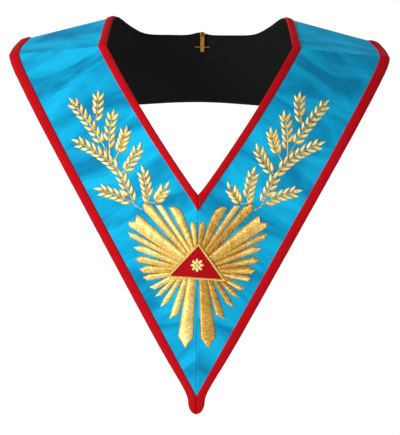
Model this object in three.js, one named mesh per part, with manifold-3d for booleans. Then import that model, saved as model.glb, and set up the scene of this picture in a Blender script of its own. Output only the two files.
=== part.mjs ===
// A regalia collar of blue moire ribbon, as it lies when worn: two ribbon legs meet in a V on the chest, and one
// ribbon runs over the shoulders and round the back of the neck. Red tape borders both edges, the inside is lined
// in black, and the chest carries gold padded embroidery. Millimetres, +Z up, the front faces -Y, +X is the right
// side as seen from the front. The origin is the middle of the neck, level with the tops of the two shoulders.

import * as THREE from 'three';
import { mergeVertices } from 'three/addons/utils/BufferGeometryUtils.js';
import Module from 'manifold-3d';

// Driving dimensions of the cut and of the worn form
const RIBBON_WIDTH = 104;          // the ribbon of the shoulders and the back
const FRONT_TO_RIDGE = 100;        // from the plane of the chest back to the tops of the shoulders
const VEE_DROP = 192;              // down to the sharp corner of the neck V
const TIP_DROP = 410;              // down to the sharp corner of the tip, before its nose is rounded
const SEAM_DROP = 36;              // down to the neck end of a shoulder seam
const SEAM_FALL = 8.2;             // the seam's outer end lies this much lower
const NECK_HALF_WIDTH = 91;        // half the neck opening at the tops of the shoulders
const SEAM_FLARE = 5.5;            // the neck end of a seam lies this much further out
const SEAM_SPAN = 104.7;           // the seam's width in the front view
const NECK_BACK = 72;              // from the tops of the shoulders back to the neck edge
const NECK_BOW = 3.6;              // how far the neck edges of the legs bow outward
const VEE_ROUNDING = 2;            // rounds the corner of the V
const NOSE_HALF_WIDTH = 8;         // half the width of the rounded nose at the tip
const NOSE_HEIGHT = 13;
const NOSE_PINCH = 2.2;            // the waist above the nose

// Cloth and embroidery thicknesses, measured from the face of the blue ribbon
const RIBBON_THICKNESS = 1.2;
const LINING_THICKNESS = 1.0;
const TAPE_THICKNESS = 0.8;
const NECK_TAPE_WIDTH = 7.5;
const EDGE_TAPE_WIDTH = 9.5;
const GAP = 0.3;                   // clearance between pieces that lie on each other
const TAPE_GAP = 0.4;              // a tape bridges the ribbon's facets
const RAY_RIM = 0.9;
const RAY_CROWN = 1.7;
const LEAF_CROWN = 1.4;
const STEM_WIDTH = 1.5;
const STEM_HEIGHT = 0.8;
const STEM_STEP = 9;               // longest straight piece of a stem

// The triangle: a red field inside a gold cord, sewn slightly askew
const FIELD_HALF_BASE = 25.2;
const FIELD_HEIGHT = 30.7;
const TRIANGLE_BASE_X = -1.1;
const TRIANGLE_BELOW_VEE = 79.9;    // from the corner of the V down to the middle of the base
const TRIANGLE_TILT = THREE.MathUtils.degToRad(-3.4);
const CORD_WIDTH = 2.6;
const CORD_HEIGHT = 1.6;
const BAND_HEIGHT = 0.8;           // the narrow band under the cord that the rays grow from
const FIELD_THICKNESS = 1.0;
const ROSETTE_RADIUS = 6.8;
const ROSETTE_PETALS = 8;
const ROSETTE_HEIGHT = 1.3;

// The rays and the foliage, measured from the middle of the triangle's base
const RAYS_HALF_WIDTH = 69.7;
const FOLIAGE_HEIGHT = 178.9;

// The metal hook over the neck edge at the back
const HOOK_WIDTH = 4.6;
const HOOK_THICKNESS = 0.9;
const HOOK_INSIDE_LENGTH = 21.5;
const HOOK_OUTSIDE_LENGTH = 9;
const HOOK_ASIDE = 2.9;            // to the right of the centre back, as it is sewn on
const BAR_RADIUS = 0.8;
const BAR_LENGTH = 17;
const BAR_DROP = 15.2;             // from the neck edge down to the cross bar
const BAR_GAP = 1.2;               // the straight bar spans the hollow of the lining

const COLOURS = {
  ribbon: { color: 0x18a0d8, roughness: 0.5, metalness: 0 },
  tape: { color: 0xc01420, roughness: 0.7, metalness: 0 },
  lining: { color: 0x141414, roughness: 0.85, metalness: 0 },
  gold_thread: { color: 0xe0b050, roughness: 0.45, metalness: 0.25 },
  red_field: { color: 0xb01018, roughness: 0.6, metalness: 0 },
  gilt_metal: { color: 0xd8a838, roughness: 0.3, metalness: 1 },
};

// How a leg leaves the plane of the chest. up: share of the height from the V to the seam. back: share of
// FRONT_TO_RIDGE at the neck edge. tilt: how fast the leg falls back outward from there.
const LEG_DRAPE = [
  { up: 0.0, back: 0.0, tilt: 0.08 },
  { up: 0.2, back: 0.012, tilt: 0.09 },
  { up: 0.4, back: 0.045, tilt: 0.12 },
  { up: 0.6, back: 0.125, tilt: 0.18 },
  { up: 0.8, back: 0.275, tilt: 0.235 },
  { up: 1.0, back: 0.5, tilt: 0.267 },
];

// The ribbon from the seam over a shoulder to the centre back. side, back and up place the neck edge, as shares
// of NECK_HALF_WIDTH, NECK_BACK and RIBBON_WIDTH; out, behind and down lead from there to the outer edge, as
// shares of RIBBON_WIDTH.
const SHOULDER_DRAPE = [
  { side: 1.038, back: -0.347, up: -0.149, out: 0.972, behind: 0.165, down: 0.173 },
  { side: 1.0, back: 0.0, up: 0.0, out: 0.942, behind: 0.038, down: 0.24 },
  { side: 0.934, back: 0.264, up: -0.014, out: 0.985, behind: 0.125, down: 0.332 },
  { side: 0.83, back: 0.569, up: -0.063, out: 1.003, behind: 0.279, down: 0.486 },
  { side: 0.659, back: 0.917, up: -0.109, out: 0.885, behind: 0.519, down: 0.699 },
  { side: 0.374, back: 0.99, up: -0.112, out: 0.481, behind: 0.678, down: 0.67 },
  { side: 0.14, back: 1.0, up: -0.108, out: 0.163, behind: 0.702, down: 0.64 },
  { side: 0.0, back: 1.0, up: -0.084, out: 0.0, behind: 0.702, down: 0.656 },
];

// Rays of one side, from the middle of the top round to the bottom, in the front view, as shares of
// RAYS_HALF_WIDTH: outward from the centre line and up from the triangle's base. root is a point inside the
// triangle, end the outline of the outer end.
const RAYS = [
  {
    root: [0.023, 0.3716],
    rootWidth: 0.0459,
    end: [[0.1119, 0.7131], [0.0976, 0.7719], [0.0631, 0.7862], [0.0287, 0.7647], [0.0143, 0.7001]],
  },
  {
    root: [0.0373, 0.3286],
    rootWidth: 0.0574,
    end: [[0.4189, 0.9914], [0.3257, 1.0129], [0.2439, 0.957], [0.1908, 0.8522]],
  },
  { root: [0.0746, 0.307], rootWidth: 0.066, end: [[0.6083, 1.0187], [0.5251, 1.0373], [0.4821, 0.9885]] },
  {
    root: [0.1148, 0.2855],
    rootWidth: 0.0689,
    end: [[0.7747, 0.9426], [0.7934, 1.0258], [0.7518, 1.0603], [0.6542, 1.0143]],
  },
  {
    root: [0.1578, 0.2353],
    rootWidth: 0.1148,
    end: [[0.9813, 0.7102], [0.9971, 0.7805], [0.8867, 0.7991], [0.8737, 0.8938], [0.802, 0.8508]],
  },
  { root: [0.1793, 0.1966], rootWidth: 0.0646, end: [[0.9598, 0.5524], [1, 0.6327], [0.8895, 0.6126]] },
  {
    root: [0.2152, 0.1664],
    rootWidth: 0.0646,
    end: [[0.8709, 0.3687], [0.9139, 0.4204], [0.7948, 0.4491]],
  },
  {
    root: [0.2296, 0.1248],
    rootWidth: 0.0603,
    end: [[0.8393, 0.1966], [0.8895, 0.2568], [0.8063, 0.2999]],
  },
  { root: [0.2439, 0.0918], rootWidth: 0.0861, end: [[0.7676, 0.0445], [0.835, 0.109], [0.7317, 0.1593]] },
  {
    root: [0.2582, 0.056],
    rootWidth: 0.0574,
    end: [[0.7116, -0.0617], [0.7776, -0.0072], [0.703, 0.0301]],
  },
  {
    root: [0.2726, 0.0416],
    rootWidth: 0.0646,
    end: [[0.6026, -0.1908], [0.6858, -0.1478], [0.6055, -0.1019]],
  },
  {
    root: [0.2511, 0.0416],
    rootWidth: 0.0574,
    end: [[0.5079, -0.2654], [0.6069, -0.2884], [0.5552, -0.2138]],
  },
  {
    root: [0.2009, 0.0488],
    rootWidth: 0.0631,
    end: [[0.4161, -0.3745], [0.528, -0.4319], [0.4935, -0.3372]],
  },
  {
    root: [0.1435, 0.056],
    rootWidth: 0.0717,
    end: [[0.2669, -0.5323], [0.3974, -0.6011], [0.3673, -0.4749]],
  },
  {
    root: [0.0746, 0.056],
    rootWidth: 0.1148,
    end: [[0.0545, -0.8651], [0.1693, -1.0143], [0.2726, -0.8451]],
  },
];

// Branches of the foliage in the same view, as shares of FOLIAGE_HEIGHT. bow is how far the stem arches to the
// left of its way to the tip, as a share of its length.
const SPRAY_BRANCHES = [
  { from: [0.5115, 0.6842], to: [0.7155, 0.9693], pairs: 7, bow: 0.024 },
  { from: [0.6009, 0.8239], to: [0.5774, 1], pairs: 4, bow: 0.047 },
  { from: [0.5031, 0.6702], to: [0.4947, 0.891], pairs: 5, bow: -0.038 },
  { from: [0.4779, 0.6478], to: [0.422, 0.796], pairs: 4, bow: 0.035 },
  { from: [0.4388, 0.5696], to: [0.3494, 0.7037], pairs: 4, bow: 0.052 },
  { from: [0.4388, 0.5696], to: [0.6792, 0.7457], pairs: 7, bow: 0.066 },
  { from: [0.3689, 0.4103], to: [0.545, 0.4774], pairs: 5, bow: 0.03 },
  { from: [0.3661, 0.4075], to: [0.4332, 0.55], pairs: 4, bow: 0 },
];
const SPRAY_TRUNK = [[0.5143, 0.687], [0.4863, 0.6534], [0.4416, 0.5724], [0.3689, 0.4131], [0.3605, 0.3963], [0.3186, 0.374]];
const SPRIG_BRANCHES = [
  { from: [0.2823, 0.4103], to: [0.3141, 0.5724], pairs: 5, bow: 0.017 },
  { from: [0.2543, 0.4075], to: [0.1956, 0.4885], pairs: 3, bow: 0.028 },
];
const SPRIG_TRUNK = [[0.2459, 0.4097], [0.2907, 0.4153]];
const LEAF_LENGTH = 8.6;
const LEAF_WIDTH = 3.7;
const LEAF_SPREAD = THREE.MathUtils.degToRad(37);
const LEAF_WIDEST = 0.42;          // share of the leaf's length from its base to its widest place

const SEAM_NECK_X = NECK_HALF_WIDTH + SEAM_FLARE;
const SEAM_EDGE_X = SEAM_NECK_X + SEAM_SPAN;
const TRIANGLE_BASE_DROP = VEE_DROP + TRIANGLE_BELOW_VEE;
const NECK_SLOPE = SEAM_NECK_X / (VEE_DROP - SEAM_DROP);
const EDGE_SLOPE = SEAM_EDGE_X / (TIP_DROP - SEAM_DROP - SEAM_FALL);
const PANEL = [-RIBBON_THICKNESS, 0];
const LINING = [-RIBBON_THICKNESS - GAP - LINING_THICKNESS, -RIBBON_THICKNESS - GAP];
const TAPE = [TAPE_GAP, TAPE_GAP + TAPE_THICKNESS];

const wasm = await Module();
wasm.setup();

// Smooth curve through a table's rows, with no overshoot at its ends.
function readTable(rows, key, column, at) {
  const last = rows.length - 1;
  const share = THREE.MathUtils.clamp(at, rows[0][key], rows[last][key]);
  let i = 0;
  while (i < last - 1 && share > rows[i + 1][key]) i += 1;
  const slope = (k) => {
    if (k === 0) return 0;
    const next = Math.min(k + 1, last);
    return (rows[next][column] - rows[k - 1][column]) / (rows[next][key] - rows[k - 1][key]);
  };
  const span = rows[i + 1][key] - rows[i][key];
  const t = (share - rows[i][key]) / span;
  const a = rows[i][column];
  const b = rows[i + 1][column];
  const rise = b - a;
  return a + slope(i) * span * (t - 2 * t * t + t ** 3) + rise * (3 * t * t - 2 * t ** 3)
    + slope(i + 1) * span * (t ** 3 - t * t);
}

// Share of the height from the V up to the seam.
function heightShare(z) {
  return (z + VEE_DROP) / (VEE_DROP - SEAM_DROP);
}

// Neck edge of a leg in the front view, before its corner is rounded.
function sharpNeckX(z) {
  const up = heightShare(z);
  return SEAM_NECK_X * up + (up > 0 ? 4 * NECK_BOW * up * (1 - up) : 0);
}

function neckX(z) {
  const sharp = sharpNeckX(z);
  return sharp > VEE_ROUNDING ? Math.sqrt(sharp ** 2 - VEE_ROUNDING ** 2) : 0;
}

// Outer edge of a leg in the front view: a straight line, a slight waist and a round nose.
const noseBottom = NOSE_HALF_WIDTH / EDGE_SLOPE - TIP_DROP - NOSE_HEIGHT;
function edgeX(z) {
  const centre = noseBottom + NOSE_HEIGHT;
  if (z < centre) {
    const below = Math.min(1, (centre - z) / NOSE_HEIGHT);
    return NOSE_HALF_WIDTH * Math.sqrt(1 - below ** 2);
  }
  const above = (z - centre) / NOSE_HEIGHT;
  return (z + TIP_DROP) * EDGE_SLOPE - NOSE_PINCH * above * Math.exp(1 - above);
}

// How far behind the plane of the chest a point of a leg lies; x is counted outward.
function depthAt(x, z) {
  const up = heightShare(z);
  const back = FRONT_TO_RIDGE * readTable(LEG_DRAPE, 'up', 'back', up);
  const tilt = readTable(LEG_DRAPE, 'up', 'tilt', up);
  return back + tilt * (x - Math.max(0, sharpNeckX(z)));
}

// The worn place of a flat point: x and z in the front view, height off the ribbon's face. Points keep their x,
// so the two legs meet in the centre plane at every height.
function drapeLeg(x, z, height) {
  const side = x < 0 ? -1 : 1;
  const out = Math.abs(x);
  const step = 0.5;
  const acrossSlope = (depthAt(out + step, z) - depthAt(out - step, z)) / (2 * step);
  const upSlope = (depthAt(out, z + step) - depthAt(out, z - step)) / (2 * step);
  const lift = height * Math.hypot(acrossSlope, 1, upSlope) / (1 + upSlope ** 2);
  return new THREE.Vector3(side * out, depthAt(out, z) - FRONT_TO_RIDGE - lift, z + lift * upSlope);
}

// Turns a mesh's faces outward and gives it flat normals.
function finishGeometry(positions, index) {
  let volume = 0;
  const corner = (k) => new THREE.Vector3().fromArray(positions, 3 * index[k]);
  for (let k = 0; k < index.length; k += 3) {
    volume += corner(k).dot(corner(k + 1).cross(corner(k + 2)));
  }
  if (volume < 0) index.reverse();
  const geometry = new THREE.BufferGeometry();
  geometry.setAttribute('position', new THREE.Float32BufferAttribute(positions, 3));
  geometry.setIndex(index);
  geometry.computeVertexNormals();
  return geometry;
}

// A sheet with a thickness: place(row, column, layer) gives its points, layer 0 inside and 1 outside.
function sheetSolid(rows, columns, place) {
  const positions = [];
  const index = [];
  const id = (i, j, layer) => (layer * (rows + 1) + i) * (columns + 1) + j;
  for (const layer of [0, 1]) {
    for (let i = 0; i <= rows; i += 1) {
      for (let j = 0; j <= columns; j += 1) positions.push(...place(i, j, layer).toArray());
    }
  }
  const quad = (a, b, c, d) => index.push(a, b, c, a, c, d);
  for (let i = 0; i < rows; i += 1) {
    for (let j = 0; j < columns; j += 1) {
      quad(id(i, j, 0), id(i + 1, j, 0), id(i + 1, j + 1, 0), id(i, j + 1, 0));
      quad(id(i, j, 1), id(i, j + 1, 1), id(i + 1, j + 1, 1), id(i + 1, j, 1));
    }
    quad(id(i, 0, 0), id(i, 0, 1), id(i + 1, 0, 1), id(i + 1, 0, 0));
    quad(id(i, columns, 0), id(i + 1, columns, 0), id(i + 1, columns, 1), id(i, columns, 1));
  }
  for (let j = 0; j < columns; j += 1) {
    quad(id(0, j, 0), id(0, j + 1, 0), id(0, j + 1, 1), id(0, j, 1));
    quad(id(rows, j, 0), id(rows, j, 1), id(rows, j + 1, 1), id(rows, j + 1, 0));
  }
  return finishGeometry(positions, index);
}

// Heights at which the legs have a row of points: close on the nose and the V, wide on the flat chest.
const NOSE_STEPS = [0.995, 0.93, 0.7, 0.35, 0, -0.7, -1.6, -2.8];
const CHEST_ROWS = 3;
const CLOTH_COLUMNS = 4;          // the same for a ribbon and its lining, so that their gap stays even
const LONGEST_EDGE = 14;          // in the foliage, so that it follows the curve of the chest
const VEE_STEPS = [-8, 0, 1.2, 3, 7];
const DRAPE_ROWS = 13;
const roundedVee = VEE_ROUNDING / NECK_SLOPE - VEE_DROP;
function legHeights() {
  const heights = NOSE_STEPS.map((share) => noseBottom + NOSE_HEIGHT * (1 - share));
  const chestBottom = heights[heights.length - 1];
  const chestTop = roundedVee + VEE_STEPS[0];
  for (let i = 1; i < CHEST_ROWS; i += 1) {
    heights.push(THREE.MathUtils.lerp(chestBottom, chestTop, i / CHEST_ROWS));
  }
  VEE_STEPS.forEach((step) => heights.push(roundedVee + step));
  const drapeBottom = heights[heights.length - 1];
  for (let i = 1; i <= DRAPE_ROWS; i += 1) {
    heights.push(THREE.MathUtils.lerp(drapeBottom, -SEAM_DROP - GAP / 2, i / DRAPE_ROWS));
  }
  return heights;
}

// The height of the row's outer end, which falls more and more towards the slanted seam.
function outerHeight(z) {
  return z - SEAM_FALL * THREE.MathUtils.clamp(heightShare(z), 0, 1) ** 2;
}

// The point of a leg's row at a share of the way between two lines of the front view.
function legPoint(height, share, innerLine, outerLine) {
  const inner = Math.max(GAP / 2, innerLine(height));
  const outerZ = outerHeight(height);
  const outer = Math.max(inner + GAP, outerLine(outerZ));
  const x = THREE.MathUtils.lerp(inner, outer, share);
  const neckEnd = neckX(height);
  const fromNeck = THREE.MathUtils.clamp((x - neckEnd) / (edgeX(outerZ) - neckEnd), 0, 1);
  return [x, THREE.MathUtils.lerp(height, outerZ, fromNeck)];
}

// A strip of a leg between two such lines, from the height bottom up to the seam.
function legStrip(side, bottom, columns, innerLine, outerLine, layers) {
  const heights = legHeights().filter((z) => z > bottom + 1);
  heights.unshift(bottom);
  return sheetSolid(heights.length - 1, columns, (i, j, layer) => {
    const [x, z] = legPoint(heights[i], j / columns, innerLine, outerLine);
    return drapeLeg(side * x, z, layers[layer]);
  });
}

const neckTapeSpan = NECK_TAPE_WIDTH * Math.hypot(1, NECK_SLOPE);
const edgeTapeSpan = EDGE_TAPE_WIDTH * Math.hypot(1, EDGE_SLOPE);
const neckTapeLine = (z) => sharpNeckX(z) + neckTapeSpan;
const edgeTapeLine = (z) => (z + TIP_DROP) * EDGE_SLOPE - edgeTapeSpan;
const neckTapeBottom = -VEE_DROP - neckTapeSpan / NECK_SLOPE + 2 * GAP;
const nose = legHeights()[0];

// The two edges of the ribbon from the left seam round the back to the right seam.
function shoulderEdges() {
  const seamZ = (share) => -SEAM_DROP + GAP / 2 - SEAM_FALL * share;
  const neck = [drapeLeg(SEAM_NECK_X, seamZ(0), 0)];
  const edge = [drapeLeg(SEAM_EDGE_X, seamZ(1), 0)];
  for (const row of SHOULDER_DRAPE) {
    const start = new THREE.Vector3(row.side * NECK_HALF_WIDTH, row.back * NECK_BACK, row.up * RIBBON_WIDTH);
    const reach = new THREE.Vector3(row.out, row.behind, -row.down).multiplyScalar(RIBBON_WIDTH);
    neck.push(start);
    edge.push(start.clone().add(reach));
  }
  const mirror = (p) => new THREE.Vector3(-p.x, p.y, p.z);
  const round = (half) => [...half.map(mirror), ...half.slice(0, -1).reverse()];
  return [round(neck), round(edge)].map((points) => new THREE.CatmullRomCurve3(points, false, 'centripetal'));
}

const [neckCurve, edgeCurve] = shoulderEdges();
const SHOULDER_STEPS = 2;          // rows of points between two rows of the table
const shoulderRows = 2 * SHOULDER_DRAPE.length * SHOULDER_STEPS;

// The worn place of a point of the shoulder ribbon. At the seams its layers lie as the legs' layers do.
function drapeShoulder(row, share, height) {
  if (row === 0 || row === shoulderRows) {
    const x = THREE.MathUtils.lerp(SEAM_NECK_X, SEAM_EDGE_X, share);
    return drapeLeg(row === 0 ? -x : x, -SEAM_DROP + GAP / 2 - SEAM_FALL * share, height);
  }
  const t = row / shoulderRows;
  const step = 1e-3;
  const point = neckCurve.getPoint(t).lerp(edgeCurve.getPoint(t), share);
  const ahead = neckCurve.getPoint(t + step).lerp(edgeCurve.getPoint(t + step), share);
  const behind = neckCurve.getPoint(t - step).lerp(edgeCurve.getPoint(t - step), share);
  const across = edgeCurve.getPoint(t).sub(neckCurve.getPoint(t));
  const normal = ahead.sub(behind).cross(across).normalize();
  return point.addScaledVector(normal, height);
}

// A strip of the shoulder ribbon between two shares of its width.
function shoulderStrip(columns, innerShare, outerShare, layers) {
  return sheetSolid(shoulderRows, columns, (i, j, layer) => {
    const share = THREE.MathUtils.lerp(innerShare(i), outerShare(i), j / columns);
    return drapeShoulder(i, share, layers[layer]);
  });
}

// The share of the ribbon's width that a tape covers, measured square to the edge that it follows.
function tapeShare(row, curve, width) {
  const seamSpan = SEAM_EDGE_X - SEAM_NECK_X;
  if (row === 0 || row === shoulderRows) {
    return (curve === neckCurve ? neckTapeSpan : edgeTapeSpan) / seamSpan;
  }
  const t = row / shoulderRows;
  const across = edgeCurve.getPoint(t).sub(neckCurve.getPoint(t));
  const slant = Math.sin(across.angleTo(curve.getTangent(t)));
  return width / (across.length() * slant);
}

// A low solid with a flat back in the front view: its outline stands rim high, and its ridge, which each outline
// point is joined to by number, stands crown high.
function crownedSolid(outline, ridge, joins, rim, crown) {
  const positions = [];
  const index = [];
  const count = outline.length;
  const add = (points, height) => points.forEach(([x, z]) => positions.push(x, z, height));
  add(outline, rim);
  add(ridge, crown);
  add(outline, 0);
  add(ridge, 0);
  const below = count + ridge.length;
  for (let i = 0; i < count; i += 1) {
    const next = (i + 1) % count;
    const a = count + joins[i];
    const b = count + joins[next];
    index.push(i, next, a, below + next, below + i, below + a);
    if (a !== b) index.push(a, next, b, below + next, below + a, below + b);
    index.push(i, below + i, next, next, below + i, below + next);
  }
  return solidFrom(positions, index);
}

function solidFrom(positions, index) {
  const geometry = finishGeometry(positions, index);
  const mesh = new wasm.Mesh({
    numProp: 3,
    vertProperties: new Float32Array(geometry.attributes.position.array),
    triVerts: new Uint32Array(geometry.index.array),
  });
  return new wasm.Manifold(mesh);
}

// A flat plate in the front view.
function plate(points, low, high) {
  const shape = new THREE.Shape(points.map(([x, z]) => new THREE.Vector2(x, z)));
  let geometry = new THREE.ExtrudeGeometry(shape, { depth: high - low, bevelEnabled: false });
  geometry.translate(0, 0, low);
  geometry.deleteAttribute('normal');
  geometry.deleteAttribute('uv');
  geometry = mergeVertices(geometry, 1e-4);
  return solidFrom([...geometry.attributes.position.array], [...geometry.index.array]);
}

function fuse(solids) {
  return solids.reduce((whole, solid) => whole.add(solid));
}

// The flat triangles that the ribbon's face is made of, and how far forward of the smooth surface they lie.
const faceTriangles = [];
const faceRows = legHeights();
for (let i = 1; i < faceRows.length; i += 1) {
  for (let j = 1; j <= CLOTH_COLUMNS; j += 1) {
    const corner = (row, column) => {
      const [x, z] = legPoint(faceRows[row], column / CLOTH_COLUMNS, neckX, edgeX);
      return new THREE.Vector3(x, z, depthAt(x, z));
    };
    const [a, b, c, d] = [corner(i - 1, j - 1), corner(i, j - 1), corner(i, j), corner(i - 1, j)];
    faceTriangles.push(new THREE.Triangle(a, b, c), new THREE.Triangle(a, c, d));
  }
}
const flatten = (v) => new THREE.Vector3(v.x, v.y, 0);
function facetOffset(x, z) {
  const point = new THREE.Vector3(x, z, 0);
  const found = faceTriangles.find(({ a, b, c }) => {
    return THREE.Triangle.containsPoint(point, flatten(a), flatten(b), flatten(c));
  });
  if (!found) return 0;
  const { a, b, c } = found;
  const weights = THREE.Triangle.getBarycoord(point, flatten(a), flatten(b), flatten(c), new THREE.Vector3());
  return weights.dot(new THREE.Vector3(a.z, b.z, c.z)) - depthAt(x, z);
}

// Lays a flat solid on the ribbon of one side, GAP above its face.
function layOn(side, solid) {
  const mesh = solid.getMesh();
  const positions = [];
  for (let i = 0; i < mesh.vertProperties.length; i += mesh.numProp) {
    const [x, z, height] = mesh.vertProperties.slice(i, i + 3);
    const point = drapeLeg(side * x, z, GAP + height);
    point.y += facetOffset(x, z);
    positions.push(...point.toArray());
  }
  return finishGeometry(positions, [...mesh.triVerts]);
}

// The triangle's outline moved outward by grow. It is scaled about the centre of its inner circle.
const sideLength = Math.hypot(FIELD_HALF_BASE, FIELD_HEIGHT);
const innerRadius = (FIELD_HALF_BASE * FIELD_HEIGHT) / (FIELD_HALF_BASE + sideLength);
function trianglePoint(x, z, grow) {
  const scale = (innerRadius + grow) / innerRadius;
  const turned = new THREE.Vector2(x * scale, (z - innerRadius) * scale + innerRadius)
    .rotateAround(new THREE.Vector2(0, 0), TRIANGLE_TILT);
  return [turned.x + TRIANGLE_BASE_X, turned.y - TRIANGLE_BASE_DROP];
}
function triangleOutline(grow) {
  return [[-FIELD_HALF_BASE, 0], [FIELD_HALF_BASE, 0], [0, FIELD_HEIGHT]].map(([x, z]) => trianglePoint(x, z, grow));
}

// A point of the front view from its shares of a size, measured from the middle of the triangle's base.
function fromBase([out, up], size) {
  return new THREE.Vector2(out * size, up * size - TRIANGLE_BASE_DROP);
}

// One ray: its outline from one root corner round its outer end to the other, with a crowned middle.
function raySolid(ray, grow) {
  const root = fromBase(ray.root, RAYS_HALF_WIDTH);
  const end = ray.end.map((point) => fromBase(point, RAYS_HALF_WIDTH));
  const middle = new THREE.Vector2();
  end.forEach((point) => middle.add(point));
  middle.divideScalar(end.length);
  const way = middle.clone().sub(root).normalize();
  const rootHalf = (ray.rootWidth * RAYS_HALF_WIDTH) / 2;
  const square = new THREE.Vector2(way.y, -way.x).multiplyScalar(rootHalf + grow);
  const corner = (sign) => root.clone().addScaledVector(square, sign);
  const ends = end.map((point) => {
    const out = point.clone().sub(middle);
    return out.setLength(out.length() + grow).add(middle);
  });
  const nearEnd = Math.min(...ends.map((point) => point.distanceTo(root))) - rootHalf;
  const ridge = [root, root.clone().addScaledVector(way, nearEnd)];
  const outline = [corner(1), ...ends, corner(-1)];
  const joins = outline.map((_, i) => (i === 0 || i === outline.length - 1 ? 0 : 1));
  const pairs = (points) => points.map((p) => [p.x, p.y]);
  return crownedSolid(pairs(outline), pairs(ridge), joins, grow ? LEAF_CROWN + 1 : RAY_RIM, RAY_CROWN + grow);
}

// The rays of one side, x counted outward, fused on the half of the band that runs under the cord.
function raysSolid(side) {
  const outline = (grow) => triangleOutline(grow).map(([x, z]) => [side * x, z]);
  const top = RAY_CROWN + 1;
  const band = plate(outline(CORD_WIDTH), 0, BAND_HEIGHT);
  const underCord = plate(outline(CORD_WIDTH + GAP), BAND_HEIGHT, top);
  const field = plate(outline(0), -1, top);
  const near = GAP / 2;
  const sideBox = plate([[near, -TIP_DROP], [SEAM_EDGE_X, -TIP_DROP], [SEAM_EDGE_X, 0], [near, 0]], -1, top);
  const rays = fuse(RAYS.map((ray) => raySolid(ray, 0)));
  return rays.add(band).subtract(underCord).subtract(field).intersect(sideBox);
}

// A leaf with its base at a point of the stem: a low four-sided pyramid over an almond outline.
function leafSolid(base, way) {
  const square = new THREE.Vector2(way.y, -way.x).multiplyScalar(LEAF_WIDTH / 2);
  const widest = base.clone().addScaledVector(way, LEAF_LENGTH * LEAF_WIDEST);
  const tip = base.clone().addScaledVector(way, LEAF_LENGTH);
  const outline = [base, widest.clone().add(square), tip, widest.clone().sub(square)];
  const positions = outline.flatMap((point) => [point.x, point.y, 0]);
  positions.push(widest.x, widest.y, LEAF_CROWN);
  const top = outline.length;
  return solidFrom(positions, [0, 1, top, 1, 2, top, 2, 3, top, 3, 0, top, 0, 2, 1, 0, 3, 2]);
}

// A stem along points, as wide as STEM_WIDTH.
function stemSolid(points) {
  const half = STEM_WIDTH / 2;
  const edges = points.map((point, i) => {
    const before = points[Math.max(0, i - 1)];
    const after = points[Math.min(points.length - 1, i + 1)];
    const way = after.clone().sub(before).normalize();
    return new THREE.Vector2(way.y, -way.x).multiplyScalar(half);
  });
  const left = points.map((point, i) => point.clone().add(edges[i]));
  const right = points.map((point, i) => point.clone().sub(edges[i])).reverse();
  return plate([...left, ...right].map((p) => [p.x, p.y]), 0, STEM_HEIGHT);
}

// More points along a stem, so that it follows the curve of the chest.
function closeSpaced(points) {
  return points.flatMap((point, i) => {
    if (i === points.length - 1) return [point];
    const next = points[i + 1];
    const steps = Math.ceil(point.distanceTo(next) / STEM_STEP);
    return Array.from({ length: steps }, (_, k) => point.clone().lerp(next, k / steps));
  });
}

// A branch: an arched stem, pairs of leaves along it and one leaf at its tip.
function branchSolids({ from, to, pairs, bow }) {
  const start = fromBase(from, FOLIAGE_HEIGHT);
  const chord = fromBase(to, FOLIAGE_HEIGHT).sub(start);
  const square = new THREE.Vector2(-chord.y, chord.x);
  const at = (t) => start.clone().addScaledVector(chord, t).addScaledVector(square, 4 * bow * t * (1 - t));
  const wayAt = (t) => at(t + 0.01).sub(at(t - 0.01)).normalize();
  const steps = Math.ceil(chord.length() / STEM_STEP);
  const stemPoints = Array.from({ length: steps + 1 }, (_, k) => at(k / steps));
  const solids = [stemSolid(stemPoints), leafSolid(at(0.98), wayAt(0.99))];
  const origin = new THREE.Vector2(0, 0);
  for (let i = 0; i < pairs; i += 1) {
    const t = 1 - (i + 0.35) / (pairs + 0.3);
    for (const sign of [-1, 1]) {
      const way = wayAt(t);
      const base = at(t).addScaledVector(new THREE.Vector2(way.y, -way.x), -sign * STEM_WIDTH * 0.3);
      solids.push(leafSolid(base, way.rotateAround(origin, sign * LEAF_SPREAD)));
    }
  }
  return solids;
}

// A spray or a sprig in the front view, cut back where it meets the ends of the rays.
const raysWithRoom = fuse(RAYS.map((ray) => raySolid(ray, 2 * GAP)));
function foliageSolid(branches, trunk) {
  const stems = [stemSolid(closeSpaced(trunk.map((point) => fromBase(point, FOLIAGE_HEIGHT))))];
  return fuse([...stems, ...branches.flatMap(branchSolids)]).subtract(raysWithRoom).refineToLength(LONGEST_EDGE);
}

// The red field: rows from the base to the apex, each with a point near the centre fold.
function fieldGeometry() {
  const rows = 4;
  const [left, right, apex] = triangleOutline(-GAP).map((point) => new THREE.Vector2(...point));
  return sheetSolid(rows, 2, (i, j, layer) => {
    const rise = (i / rows) * (1 - GAP / FIELD_HEIGHT);
    const a = left.clone().lerp(apex, rise);
    const b = right.clone().lerp(apex, rise);
    const fold = THREE.MathUtils.clamp(-a.x / (b.x - a.x), 0.1, 0.9);
    const point = a.lerp(b, [0, fold, 1][j]);
    return drapeLeg(point.x, point.y, GAP + layer * FIELD_THICKNESS);
  });
}

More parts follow.
